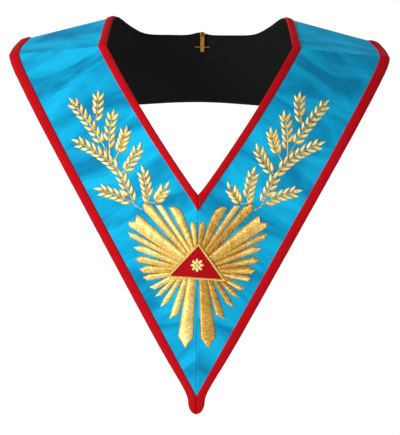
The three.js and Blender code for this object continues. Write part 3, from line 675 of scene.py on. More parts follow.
class Wardrobe:
    """Builds each finish once and dresses pieces in it."""

    def __init__(self) -> None:
        """Builds the finishes."""
        self.materials = {
            Finish.RIBBON: MoireRibbon().build(),
            Finish.TAPE: WovenTape().build(),
            Finish.LINING: CottonLining().build(),
            Finish.GOLD: GoldThread().build(),
            Finish.SATIN: RedSatin().build(),
            Finish.METAL: GiltBrass().build(),
        }

    def dress(self, piece: bpy.types.Object, finish: Finish) -> None:
        """Gives a piece its material."""
        piece.data.materials.append(self.materials[finish])

    def dress_cloth(self, pieces: dict[str, bpy.types.Object], stretch: str) -> None:
        """Dresses the pieces of a stretch of ribbon and hides the nodes that they replace."""
        for key, piece in pieces.items():
            finish, node = CLOTH[key]
            self.dress(piece, finish)
            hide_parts(f"{node}_{stretch}")


# Cloth


class Side(Enum):
    """The two sides as seen from the front."""

    LEFT = -1
    RIGHT = 1

    @property
    def word(self) -> str:
        """The side in the names of pieces and nodes."""
        return self.name.lower()


def seam_fold(away: np.ndarray) -> np.ndarray:
    """Returns how far cloth dips into a seam, and swells beside it, at a distance from the seam."""
    swell, swell_at, swell_reach = 0.2, 1.6, 1.1
    dip, dip_reach = 0.32, 0.4
    away = np.maximum(away, 0)
    beside = swell * np.exp(-(((away - swell_at) / swell_reach) ** 2))
    return beside - dip * np.exp(-((away / dip_reach) ** 2))


def flat_section(share: np.ndarray, face: float, under: float) -> np.ndarray:
    """Returns the section of flat cloth: share across, height of its face and of its underside."""
    return np.stack([share, 0 * share + face, 0 * share + under], axis=1)


def tape_section(cut: Cut, edge_last: bool) -> np.ndarray:
    """Returns a rounded tape's section, whose cut edge is turned down at its start or at its end.

    Args:
        cut: The collar's sizes.
        edge_last: Whether the tape lies on the outer edge, so that it turns down at its end.

    Returns:
        Rows of share across, height of its face and of its underside.
    """
    rows = np.array([
        (0.0, -0.5, -cut.ribbon_thickness),
        (0.012, 0.15, -cut.ribbon_thickness),
        (0.045, 0.7, 0.1),
        (0.11, 1.05, 0.1),
        (0.22, 1.3, 0.1),
        (0.45, 1.45, 0.1),
        (0.7, 1.35, 0.1),
        (0.88, 1.05, 0.1),
        (0.96, 0.7, 0.1),
        (1.0, 0.1, 0.05),
    ])
    if edge_last:
        rows = rows[::-1].copy()
        rows[:, 0] = 1 - rows[:, 0]
    return rows


@dataclass
class Leg:
    """One front leg: ribbon, lining and its two tapes."""

    worn: Worn
    side: Side
    wardrobe: Wardrobe
    rows: int = 150
    columns: int = 44
    edge_turn: float = 0.45
    centre_gap: float = 0.03
    lining_lap: float = 0.1
    pattern_shift: float = 1000.0
    pieces: dict[str, bpy.types.Object] = field(default_factory=dict)

    def heights(self, bottom: float) -> np.ndarray:
        """Returns the heights of the rows, close together on the nose and the V."""
        c = self.worn.cut
        nose = c.nose_bottom + c.nose_height * (1 - np.cos(np.linspace(0.03, math.pi / 2, 12)))
        rest = np.linspace(nose[-1], -c.seam_drop, self.rows)[1:]
        vee = c.vee_rounding / c.neck_slope - c.vee_drop + np.array([0.0, 0.3, 0.8, 1.5, 2.5, 4.0])
        seam = -c.seam_drop - np.array([0.25, 0.6, 1.0, 1.5])
        every = np.unique(np.concatenate([nose, rest, vee, seam]))
        return np.concatenate([[bottom], every[every > bottom + 0.2]])

    def outer_height(self, z: np.ndarray) -> np.ndarray:
        """Returns the height of the outer end of the row that starts at z on the neck side."""
        return z - self.worn.cut.seam_fall * np.clip(self.worn.height_share(z), 0, 1) ** 2

    def flat_point(self, z: np.ndarray, share: np.ndarray, inner: np.ndarray,
                   outer: np.ndarray) -> tuple[np.ndarray, np.ndarray]:
        """Returns x and z of the front view at a share of the way between two lines."""
        x = inner + (outer - inner) * share
        outer_z = self.outer_height(z)
        neck = self.worn.neck_x(z)
        from_neck = np.clip((x - neck) / np.maximum(self.worn.edge_x(outer_z) - neck, 1e-6), 0, 1)
        return x, z + (outer_z - z) * from_neck

    def along(self, x: np.ndarray, z: np.ndarray) -> np.ndarray:
        """Returns the flat place on the straight ribbon: across it and along it."""
        turn = math.atan(self.worn.cut.edge_slope)
        across = x * math.cos(turn) - z * math.sin(turn)
        length = x * math.sin(turn) + z * math.cos(turn)
        shift = self.pattern_shift if self.side is Side.RIGHT else 0.0
        return np.stack([across + shift, length], axis=-1)

    def strip(self, name: str, heights: np.ndarray, inner: np.ndarray, outer: np.ndarray,
              section: np.ndarray) -> bpy.types.Object:
        """Makes a closed sheet between two lines.

        Args:
            name: The piece's name.
            heights: Heights of its rows.
            inner: The line nearer the neck or the centre, one value a row.
            outer: The line nearer the outer edge, one value a row.
            section: Rows of share across, height of the outer face and height of the inner face.

        Returns:
            The object.
        """
        count = len(section)
        z = np.repeat(heights, count)
        share = np.tile(section[:, 0], len(heights))
        below = -self.worn.cut.seam_drop - z
        x, z = self.flat_point(z, share, np.repeat(inner, count), np.repeat(outer, count))
        at_centre = inner.min() < self.lining_lap
        rise = np.tile(section[:, 1], len(heights)) + seam_fold(below) + seam_fold(x) * at_centre
        top = self.worn.leg(self.side.value * x, z, rise)
        under = self.worn.leg(self.side.value * x, z, np.tile(section[:, 2], len(heights)))
        piece = make_object(name, np.vstack([top, under]), sheet_faces(len(heights), count))
        front_outward(piece)
        flat = self.along(x, z)
        set_uv(piece, np.vstack([flat, flat]))
        return piece

    def build(self) -> None:
        """Makes the ribbon, the lining and the two tapes of this leg."""
        c = self.worn.cut
        name = self.side.word
        heights = self.heights(c.nose_bottom + 0.05)
        share = np.concatenate([[0, 0.003, 0.006, 0.01, 0.015], np.linspace(0.022, 1, self.columns)])
        inner = np.maximum(self.centre_gap, self.worn.neck_x(heights))
        closed = np.where(inner > self.centre_gap, inner, -self.lining_lap)
        outer = np.maximum(inner + 0.3, self.worn.edge_x(self.outer_height(heights)))
        ribbon = flat_section(share, 0.0, -c.ribbon_thickness)
        lining = flat_section(share[::2], c.lining_top, c.lining_top - c.lining_thickness)
        self.pieces["ribbon"] = self.strip(f"ribbon_front_{name}", heights, inner, outer, ribbon)
        self.pieces["lining"] = self.strip(
            f"lining_cloth_front_{name}", heights, closed, outer + self.edge_turn, lining
        )
        self.build_tapes(name, heights)
        self.wardrobe.dress_cloth(self.pieces, f"front_{name}")

    def build_tapes(self, name: str, heights: np.ndarray) -> None:
        """Makes the tapes: rounded in section, and turned down over the ribbon's cut edge."""
        c = self.worn.cut
        neck_span = c.neck_tape * math.hypot(1, c.neck_slope)
        edge_span = c.edge_tape * math.hypot(1, c.edge_slope)
        bottom = -c.vee_drop - neck_span / c.neck_slope + 0.3
        rows = self.heights(bottom)
        inner = np.maximum(self.centre_gap, self.worn.neck_x(rows) - self.edge_turn)
        outer = np.maximum(inner + 0.2, self.worn.sharp_neck_x(rows) + neck_span)
        self.pieces["neck_tape"] = self.strip(
            f"tape_neck_front_{name}", rows, inner, outer, tape_section(c, False)
        )
        outer_z = self.outer_height(heights)
        outer = self.worn.edge_x(outer_z) + self.edge_turn
        sharp = (outer_z + c.tip_drop) * c.edge_slope - self.worn.corner_inset(outer_z) - edge_span
        inner = np.minimum(np.maximum(self.centre_gap, sharp), outer - 0.3)
        self.pieces["edge_tape"] = self.strip(
            f"tape_edge_front_{name}", heights, inner, outer, tape_section(c, True)
        )


@dataclass
class Yoke:
    """The ribbon over the shoulders and round the back, with its lining and tapes."""

    worn: Worn
    wardrobe: Wardrobe
    rows_round: int = 241
    columns: int = 40
    edge_turn: float = 0.45
    way_round: float = 600.0
    roll_from: float = 0.1
    roll_grows: float = 0.08
    roll_under: float = 1.0
    pieces: dict[str, bpy.types.Object] = field(default_factory=dict)

    @property
    def places(self) -> np.ndarray:
        """Shares of the way round at which the rows lie, close together at the seams."""
        seam = np.array([0.4, 0.8, 1.3, 2.0]) / self.way_round
        return np.unique(np.concatenate([np.linspace(0, 1, self.rows_round), seam, 1 - seam]))

    @property
    def rows(self) -> int:
        """Number of rows."""
        return len(self.places)

    @property
    def rolled(self) -> np.ndarray:
        """How far the lining's neck edge is turned up in each row, 0 at the seams to 1 round the back."""
        away = np.minimum(self.places, 1 - self.places)
        part = np.clip((away - self.roll_from) / self.roll_grows, 0, 1)
        return part * part * (3 - 2 * part)

    def strip(self, name: str, inner: np.ndarray, outer: np.ndarray, section: np.ndarray,
              roll: tuple[float, ...] = ()) -> bpy.types.Object:
        """Makes a closed sheet between two shares of the ribbon's width.

        Args:
            name: The piece's name.
            inner: Share of the width at the neck side, one value a row.
            outer: Share of the width at the outer side, one value a row.
            section: Rows of share across, height of the outer face and height of the inner face.
            roll: How far the section's first rows turn up over the edge, which fades out towards the seams.

        Returns:
            The object.
        """
        count = len(section)
        t = self.places
        every = np.repeat(t, count)
        part = np.tile(section[:, 0], self.rows)
        share = np.repeat(inner, count) + np.repeat(outer - inner, count) * part
        away = np.minimum(every, 1 - every) * self.way_round
        turn_up = np.tile(np.pad(roll, (0, count - len(roll))), self.rows) * np.repeat(self.rolled, count)
        top = self.worn.shoulder(every, share, np.tile(section[:, 1], self.rows) + seam_fold(away) + turn_up)
        under = self.worn.shoulder(every, share, np.tile(section[:, 2], self.rows) + turn_up)
        piece = make_object(name, np.vstack([top, under]), sheet_faces(self.rows, count))
        front_outward(piece)
        middle = self.worn.neck.at(t) * 0.5 + self.worn.edge.at(t) * 0.5
        length = np.concatenate([[0], np.cumsum(np.linalg.norm(np.diff(middle, axis=0), axis=1))])
        flat = np.stack([share * self.worn.cut.ribbon_width, np.repeat(length, count)], axis=1)
        set_uv(piece, np.vstack([flat, flat]))
        return piece

    def tape_share(self, line: SplineLine, width: float) -> np.ndarray:
        """Returns the share of the ribbon's width that a tape covers along one of its edges."""
        c = self.worn.cut
        t = self.places
        across = self.worn.edge.at(t) - self.worn.neck.at(t)
        way = line.at(np.minimum(t + 1e-3, 1)) - line.at(np.maximum(t - 1e-3, 0))
        span = np.linalg.norm(across, axis=1)
        sine = np.linalg.norm(np.cross(across, way), axis=1) / span / np.linalg.norm(way, axis=1)
        share = width / (span * sine)
        slope = c.neck_slope if line is self.worn.neck else c.edge_slope
        seam = width * math.hypot(1, slope) / (c.seam_edge_x - c.seam_neck_x)
        near = self.worn.near_seam(t)
        return share * (1 - near) + seam * near

    def build(self) -> None:
        """Makes the ribbon, the lining and the tapes."""
        c = self.worn.cut
        zero, one = np.zeros(self.rows), np.ones(self.rows)
        turn = self.edge_turn / c.ribbon_width
        share = np.linspace(0, 1, self.columns)
        ribbon = flat_section(share, 0.0, -c.ribbon_thickness)
        rolled_share = np.concatenate([[0.0, 0.004, 0.008, 0.013], share[1::2]])
        lining = flat_section(rolled_share, c.lining_top, c.lining_top - c.lining_thickness)
        self.pieces["ribbon"] = self.strip("ribbon_back", zero, one, ribbon)
        neck_edge = zero - turn - self.roll_under / c.ribbon_width * self.rolled
        self.pieces["lining"] = self.strip(
            "lining_cloth_back", neck_edge, one + turn, lining, roll=(2.5, 1.2, 0.3)
        )
        neck = self.tape_share(self.worn.neck, c.neck_tape)
        edge = 1 - self.tape_share(self.worn.edge, c.edge_tape)
        self.pieces["neck_tape"] = self.strip("tape_neck_back", zero - turn, neck, tape_section(c, False))
        self.pieces["edge_tape"] = self.strip("tape_edge_back", edge, one + turn, tape_section(c, True))
        self.wardrobe.dress_cloth(self.pieces, "back")


# Embroidery

# A ray: its root, the root's width and its outer end
RayShape = tuple[tuple[float, float], float, list[tuple[float, float]]]

# Rays of one side, from the middle of the top round to the bottom, in the front view, as shares of their half
# width: outward from the centre line and up from the triangle's base. The roots lie inside the triangle.
RAYS: list[RayShape] = [
    ((0.023, 0.3716), 0.0459, [(0.1119, 0.7131), (0.0976, 0.7719), (0.0631, 0.7862), (0.0287, 0.7647),
                               (0.0143, 0.7001)]),
    ((0.0373, 0.3286), 0.0574, [(0.4189, 0.9914), (0.3257, 1.0129), (0.2439, 0.957), (0.1908, 0.8522)]),
    ((0.0746, 0.307), 0.066, [(0.6083, 1.0187), (0.5251, 1.0373), (0.4821, 0.9885)]),
    ((0.1148, 0.2855), 0.0689, [(0.7747, 0.9426), (0.7934, 1.0258), (0.7518, 1.0603), (0.6542, 1.0143)]),
    ((0.1578, 0.2353), 0.1148, [(0.9813, 0.7102), (0.9971, 0.7805), (0.8867, 0.7991), (0.8737, 0.8938),
                                (0.802, 0.8508)]),
    ((0.1793, 0.1966), 0.0646, [(0.9598, 0.5524), (1, 0.6327), (0.8895, 0.6126)]),
    ((0.2152, 0.1664), 0.0646, [(0.8709, 0.3687), (0.9139, 0.4204), (0.7948, 0.4491)]),
    ((0.2296, 0.1248), 0.0603, [(0.8393, 0.1966), (0.8895, 0.2568), (0.8063, 0.2999)]),
    ((0.2439, 0.0918), 0.0861, [(0.7676, 0.0445), (0.835, 0.109), (0.7317, 0.1593)]),
    ((0.2582, 0.056), 0.0574, [(0.7116, -0.0617), (0.7776, -0.0072), (0.703, 0.0301)]),
    ((0.2726, 0.0416), 0.0646, [(0.6026, -0.1908), (0.6858, -0.1478), (0.6055, -0.1019)]),
    ((0.2511, 0.0416), 0.0574, [(0.5079, -0.2654), (0.6069, -0.2884), (0.5552, -0.2138)]),
    ((0.2009, 0.0488), 0.0631, [(0.4161, -0.3745), (0.528, -0.4319), (0.4935, -0.3372)]),
    ((0.1435, 0.056), 0.0717, [(0.2669, -0.5323), (0.3974, -0.6011), (0.3673, -0.4749)]),
    ((0.0746, 0.056), 0.1148, [(0.0545, -0.8651), (0.1693, -1.0143), (0.2726, -0.845)]),
]


def unit(way: np.ndarray) -> np.ndarray:
    """Returns directions made one unit long."""
    return way / np.maximum(np.linalg.norm(way, axis=-1, keepdims=True), 1e-9)


def crosswise(way: np.ndarray) -> np.ndarray:
    """Returns the directions square to directions of the front view."""
    return np.stack([way[..., 1], -way[..., 0]], axis=-1)


def turned(way: np.ndarray | tuple[float, float], angle: float) -> np.ndarray:
    """Returns a direction or a place of the front view turned by an angle in radians."""
    return np.array([
        way[0] * math.cos(angle) - way[1] * math.sin(angle),
        way[0] * math.sin(angle) + way[1] * math.cos(angle),
    ])


def pointed_outline(spine: np.ndarray, square: np.ndarray, half: np.ndarray) -> np.ndarray:
    """Returns a leaf's or a petal's outline from its spine, the way across it and its half widths."""
    aside = square * half[:, None]
    return np.vstack([spine + aside, (spine - aside)[-2:0:-1]])


def tone_ramp(root: np.ndarray, way: np.ndarray, start: float, rise: float, reach: float) -> np.ndarray:
    """Returns direction and offset of a tone that is start at the root and gains rise within reach."""
    return np.array([*(way * rise / reach), start - root @ way * rise / reach])


@dataclass(frozen=True)
class Branch:
    """A stem with pairs of leaves, as shares of the foliage's height measured from the triangle's base.

    The first pair grows `first` millimetres below the leaf at the tip and the others follow `gap` apart. One
    more leaf grows below the last pair where `extra` is its side.
    """

    start: tuple[float, float]
    end: tuple[float, float]
    pairs: int
    bow: float
    first: float = 5.0
    gap: float = 7.0
    extra: int = 0


@dataclass(frozen=True)
class Foliage:
    """A spray or a sprig: its branches and the trunk that joins them."""

    node: str
    branches: tuple[Branch, ...]
    trunk: tuple[tuple[float, float], ...]


@dataclass(frozen=True)
class TrianglePlace:
    """The triangle's sizes and place in the front view, in millimetres."""

    half_base: float = 25.2
    height: float = 30.7
    base_x: float = -1.1
    base_z: float = -271.9
    tilt_deg: float = -3.4
    cord_width: float = 2.6

    @property
    def inner_radius(self) -> float:
        """Radius of the circle that touches its three sides."""
        return self.half_base * self.height / (self.half_base + math.hypot(self.half_base, self.height))

    def point(self, x: float, z: float, grow: float) -> np.ndarray:
        """Returns the front view's place of a point of the upright triangle, moved outward by grow."""
        radius = self.inner_radius
        scale = (radius + grow) / radius
        x, z = x * scale, (z - radius) * scale + radius
        return turned((x, z), math.radians(self.tilt_deg)) + np.array([self.base_x, self.base_z])

    def outline(self, grow: float) -> np.ndarray:
        """Returns the three corners, left, right and top, moved outward by grow."""
        corners = ((-self.half_base, 0.0), (self.half_base, 0.0), (0.0, self.height))
        return np.array([self.point(x, z, grow) for x, z in corners])


def inside(points: np.ndarray, outline: np.ndarray) -> np.ndarray:
    """Tells which points lie inside a convex outline."""
    signs = []
    for a, b in zip(outline, np.roll(outline, -1, axis=0)):
        edge = b - a
        signs.append(edge[0] * (points[..., 1] - a[1]) - edge[1] * (points[..., 0] - a[0]))
    signs = np.array(signs)
    return np.all(signs > 0, axis=0) | np.all(signs < 0, axis=0)


class StitchWork:
    """Collects threads laid in the front view, and makes them one piece on a leg."""

    # Painted shadow: the tone of the dark underlay round each leaf and ray
    underlay_shadow_tone = -0.6
    cord_sides = 8

    def __init__(self, worn: Worn, side: Side, seed: int) -> None:
        """Starts an empty piece of work."""
        self.worn = worn
        self.side = side
        self.chance = np.random.default_rng(seed)
        self.points: list[np.ndarray] = []
        self.faces: list[np.ndarray] = []
        self.caps: list[np.ndarray] = []
        self.tones: list[np.ndarray] = []
        self.count = 0

    def lay(self, paths: np.ndarray, heights: np.ndarray, radius: float, tones: np.ndarray,
            arc: int = 4) -> None:
        """Lays threads as half-round beads.

        Args:
            paths: Threads by points by x (counted outward) and z.
            heights: Threads by points: height of the thread's foot over the ribbon.
            radius: The thread's radius.
            tones: Threads by points: 0 dark to 1 bright.
            arc: Points across the bead.
        """
        threads, steps = heights.shape
        if threads == 0:
            return
        square = crosswise(unit(np.gradient(paths, axis=1)))
        taper = np.ones(steps)
        taper[0] = taper[-1] = 0.55
        angles = np.linspace(0, math.pi, arc)
        across = np.cos(angles)[None, None, :, None] * square[:, :, None, :] * radius
        flat = paths[:, :, None, :] + across * taper[None, :, None, None]
        rise = heights[:, :, None] + np.sin(angles)[None, None, :] * radius * taper[None, :, None]
        worn = self.worn.leg(self.side.value * flat[..., 0].ravel(), flat[..., 1].ravel(), rise.ravel())
        grid = np.arange(threads * steps * arc).reshape(threads, steps, arc) + self.count
        quads = np.stack([grid[:, :-1, :-1], grid[:, 1:, :-1], grid[:, 1:, 1:], grid[:, :-1, 1:]], axis=-1)
        quads = quads.reshape(-1, 4)
        self.faces.append(quads if self.side is Side.RIGHT else quads[:, ::-1])
        self.points.append(worn)
        self.tones.append(np.repeat(tones, arc, axis=1).ravel())
        self.count += threads * steps * arc

    def scan(self, outline: np.ndarray, way: np.ndarray, pitch: float) -> np.ndarray:
        """Finds where rows of stitches cross an outline.

        Args:
            outline: Corners in the front view.
            way: Unit direction of the stitches.
            pitch: Distance between two rows.

        Returns:
            Rows by two ends by x and z.
        """
        square = np.array([-way[1], way[0]])
        along, level = outline @ way, outline @ square
        rows = []
        for place in np.arange(level.min() + pitch * 0.5, level.max(), pitch):
            cuts = []
            for k in range(len(outline)):
                a, b = level[k], level[(k + 1) % len(outline)]
                if (a < place) != (b < place):
                    part = (place - a) / (b - a)
                    cuts.append(along[k] + (along[(k + 1) % len(outline)] - along[k]) * part)
            cuts.sort()
            for first, last in zip(cuts[::2], cuts[1::2]):
                rows.append((first * way + place * square, last * way + place * square))
        return np.array(rows).reshape(-1, 2, 2)

    def fill(self, outline: np.ndarray, way: np.ndarray, pitch: float, radius: float, crown: float,
             tone_at: np.ndarray, base: float = 0.0, uneven: float = 0.1,
             keep_out: np.ndarray | None = None, steps: int = 7) -> None:
        """Fills an outline with padded satin stitch.

        Args:
            outline: Corners in the front view.
            way: Unit direction of the stitches.
            pitch: Distance between two rows.
            radius: The thread's radius.
            crown: Height of the padding's middle, reached where the stitches are long.
            tone_at: Direction and offset of the tone: its value is their sum at a point, as share 0 to 1.
            base: Height that the work stands on.
            uneven: How much the tone differs from stitch to stitch.
            keep_out: A convex outline that the stitches stop at.
            steps: Points along a stitch.
        """
        rows = self.scan(outline, way, pitch)
        if len(rows) == 0:
            return
        fine = np.linspace(0, 1, 33)
        samples = rows[:, :1] + (rows[:, 1:] - rows[:, :1]) * fine[None, :, None]
        if keep_out is not None:
            free = ~inside(samples, keep_out)
            ends = []
            for line, ok in zip(samples, free):
                marks = np.flatnonzero(np.diff(np.concatenate([[0], ok.astype(int), [0]])))
                runs = marks.reshape(-1, 2)
                if len(runs):
                    first, last = runs[np.argmax(runs[:, 1] - runs[:, 0])]
                    if last - first > 2:
                        ends.append((line[first], line[last - 1]))
            rows = np.array(ends).reshape(-1, 2, 2)
        if len(rows) == 0:
            return
        length = np.linalg.norm(rows[:, 1] - rows[:, 0], axis=1)
        rows, length = rows[length > radius], length[length > radius]
        share = (1 - np.cos(np.linspace(0, math.pi, steps))) / 2
        paths = rows[:, :1] + (rows[:, 1:] - rows[:, :1]) * share[None, :, None]
        top = crown * (1 - np.exp(-length / (2.2 * crown)))
        top = top + self.chance.normal(0, 0.06, len(top))
        heights = base - radius * 0.6 + top[:, None] * np.sin(math.pi * share)[None, :] ** 0.6
        tones = paths @ tone_at[:2] + tone_at[2] + self.chance.normal(0, uneven, (len(rows), 1))
        self.lay(paths, heights, radius, np.clip(tones, 0, 1))

    def underlay_shadow(self, outline: np.ndarray, grow: float) -> None:
        """Lays the flat underlay of a padded shape, from its middle to a little beyond its edge, dark as
        painted shadow.
        """
        centre = outline.mean(axis=0)
        ahead, behind = np.roll(outline, -1, axis=0), np.roll(outline, 1, axis=0)
        square = crosswise(unit(ahead - behind))
        outward = np.sign(np.sum(square * (outline - centre), axis=1).sum())
        edge = outline + square * outward * grow
        flat = np.vstack([edge, outline, centre])
        count = len(outline)
        low, high = 0.02, 0.16
        rise = np.concatenate([np.full(count, low), np.full(count + 1, high)])
        worn = self.worn.leg(self.side.value * flat[:, 0], flat[:, 1], rise)
        ring = np.arange(count)
        after = (ring + 1) % count
        slope = np.stack([ring, after, after + count, ring + count], axis=1)
        top = np.stack([ring + count, after + count, np.full(count, 2 * count)], axis=1)
        self.faces.append(slope + self.count)
        self.caps.append(top + self.count)
        self.points.append(worn)
        self.tones.append(np.full(len(flat), self.underlay_shadow_tone))
        self.count += len(flat)

    def cord(self, path: np.ndarray, heights: np.ndarray, radius: float, ply: float, twist: float,
             tone: float) -> None:
        """Lays a cord of two twisted plies along an open or closed path.

        Args:
            path: Points in the front view, closely spaced.
            heights: Height of the cord's middle at each.
            radius: Distance of a ply's middle from the cord's.
            ply: A ply's radius.
            twist: Length of one turn.
            tone: 0 dark to 1 bright.
        """
        step = np.linalg.norm(np.diff(path, axis=0), axis=1)
        length = np.concatenate([[0], np.cumsum(step)])
        square = crosswise(unit(np.gradient(path, axis=0)))
        sides = self.cord_sides
        angles = np.linspace(0, math.tau, sides, endpoint=False)
        for start in (0.0, math.pi):
            turn = length / twist * math.tau + start
            middle = path + square * (radius * np.cos(turn))[:, None]
            rise = heights + radius * np.sin(turn)
            flat = middle[:, None, :] + np.cos(angles)[None, :, None] * square[:, None, :] * ply
            lift = rise[:, None] + np.sin(angles)[None, :] * ply
            worn = self.worn.leg(self.side.value * flat[..., 0].ravel(), flat[..., 1].ravel(), lift.ravel())
            grid = np.arange(len(path) * sides).reshape(len(path), sides) + self.count
            ahead = np.roll(grid, -1, axis=1)
            quads = np.stack([grid[:-1], grid[1:], ahead[1:], ahead[:-1]], axis=-1).reshape(-1, 4)
            self.faces.append(quads if self.side is Side.RIGHT else quads[:, ::-1])
            self.points.append(worn)
            self.tones.append(np.full(grid.size, tone))
            self.count += grid.size

    def finish(self, name: str) -> bpy.types.Object:
        """Makes the piece."""
        faces = [tuple(face) for group in self.faces + self.caps for face in group.tolist()]
        piece = make_object(name, np.vstack(self.points), faces)
        set_tone(piece, np.concatenate(self.tones))
        return piece


@dataclass
class Rays:
    """The padded rays of one side, in slanting satin stitch."""

    worn: Worn
    side: Side
    wardrobe: Wardrobe
    place: TrianglePlace = field(default_factory=TrianglePlace)
    half_width: float = 69.7
    pitch: float = 0.8
    thread: float = 0.5
    crown: float = 1.7
    slant_deg: float = 28.0
    # Painted sheen: the left side's rays are painted paler and the right side's darker, as satin stitch that
    # slants towards the light shines more
    painted_side_sheen: float = 0.1
    ray_spread: float = 0.1
    painted_light_rise: float = 0.2
    uneven: float = 0.07
    underlay_shadow: float = 0.15
    under_cord: float = 1.4
    seed: int = 11

    def outline(self, ray: RayShape) -> tuple[np.ndarray, np.ndarray, np.ndarray]:
        """Returns a ray's outline, its root and its direction."""
        root, width, end = ray
        base = np.array([0.0, self.place.base_z])
        root = np.array(root) * self.half_width + base
        end = np.array(end) * self.half_width + base
        way = unit(end.mean(axis=0) - root)
        square = crosswise(way) * width * self.half_width / 2
        return np.vstack([root + square, end, root - square]), root, way

    def build(self) -> bpy.types.Object:
        """Makes the rays of this side as one piece."""
        work = StitchWork(self.worn, self.side, self.seed)
        mirrored = self.place.outline(self.under_cord) * np.array([self.side.value, 1])
        for ray in RAYS:
            outline, root, way = self.outline(ray)
            stitch = turned(way, math.radians(90 - self.slant_deg))
            reach = (outline @ way).max() - root @ way
            # Painted sheen: this side's rays lighter or darker than the other side's
            shade = 0.5 - self.side.value * self.painted_side_sheen
            shade += work.chance.uniform(-self.ray_spread, self.ray_spread)
            # Painted light: each ray darker at its root by the triangle, where shade falls, and lighter
            # towards its outer end
            tone = tone_ramp(root, way, shade, self.painted_light_rise, reach)
            work.underlay_shadow(outline, self.underlay_shadow)
            work.fill(outline, stitch, self.pitch, self.thread, self.crown, tone, uneven=self.uneven,
                      keep_out=mirrored)
        piece = work.finish(f"gold_rays_{self.side.word}")
        self.wardrobe.dress(piece, Finish.GOLD)
        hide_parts(f"rays_{self.side.word}")
        return piece


SPRAY = Foliage(
    "spray",
    (
        Branch((0.5115, 0.6842), (0.7155, 0.9693), 7, 0.024, 5.0, 7.2),
        Branch((0.6009, 0.8239), (0.5774, 1), 3, 0.047, 2.6, 6.6, 1),
        Branch((0.5031, 0.6702), (0.4947, 0.891), 4, -0.038, 2.8, 7.0, 1),
        Branch((0.4779, 0.6479), (0.422, 0.796), 4, 0.035, 2.6, 5.3),
        Branch((0.4388, 0.5696), (0.3494, 0.7038), 4, 0.052, 4.5, 6.3),
        Branch((0.4388, 0.5696), (0.6792, 0.7457), 7, 0.066, 5.0, 6.7, -1),
        Branch((0.3689, 0.4103), (0.545, 0.4774), 4, 0.03, 4.5, 6.4, -1),
        Branch((0.3661, 0.4075), (0.4332, 0.55), 3, 0.0, 4.5, 7.0, 1),
    ),
    (
        (0.5143, 0.687), (0.4863, 0.6535), (0.4416, 0.5724), (0.3689, 0.4131), (0.3605, 0.3963),
        (0.3186, 0.374),
    ),
)
SPRIG = Foliage(
    "sprig",
    (
        Branch((0.2823, 0.4103), (0.3141, 0.5724), 4, 0.017, 4.6, 6.1, -1),
        Branch((0.2543, 0.4075), (0.1956, 0.4886), 3, 0.028, 5.2, 4.8),
    ),
    ((0.2459, 0.4097), (0.2907, 0.4153)),
)


@dataclass(frozen=True)
class Stem:
    """A slightly bowed stem in the front view, in millimetres."""

    start: np.ndarray
    chord: np.ndarray
    bow: float

    def at(self, t: float) -> np.ndarray:
        """Returns the point at a share of the way along."""
        square = np.array([-self.chord[1], self.chord[0]])
        return self.start + self.chord * t + square * (4 * self.bow * t * (1 - t))

    def way(self, t: float) -> np.ndarray:
        """Returns the unit direction at a share of the way along."""
        return unit(self.at(t + 0.01) - self.at(t - 0.01))


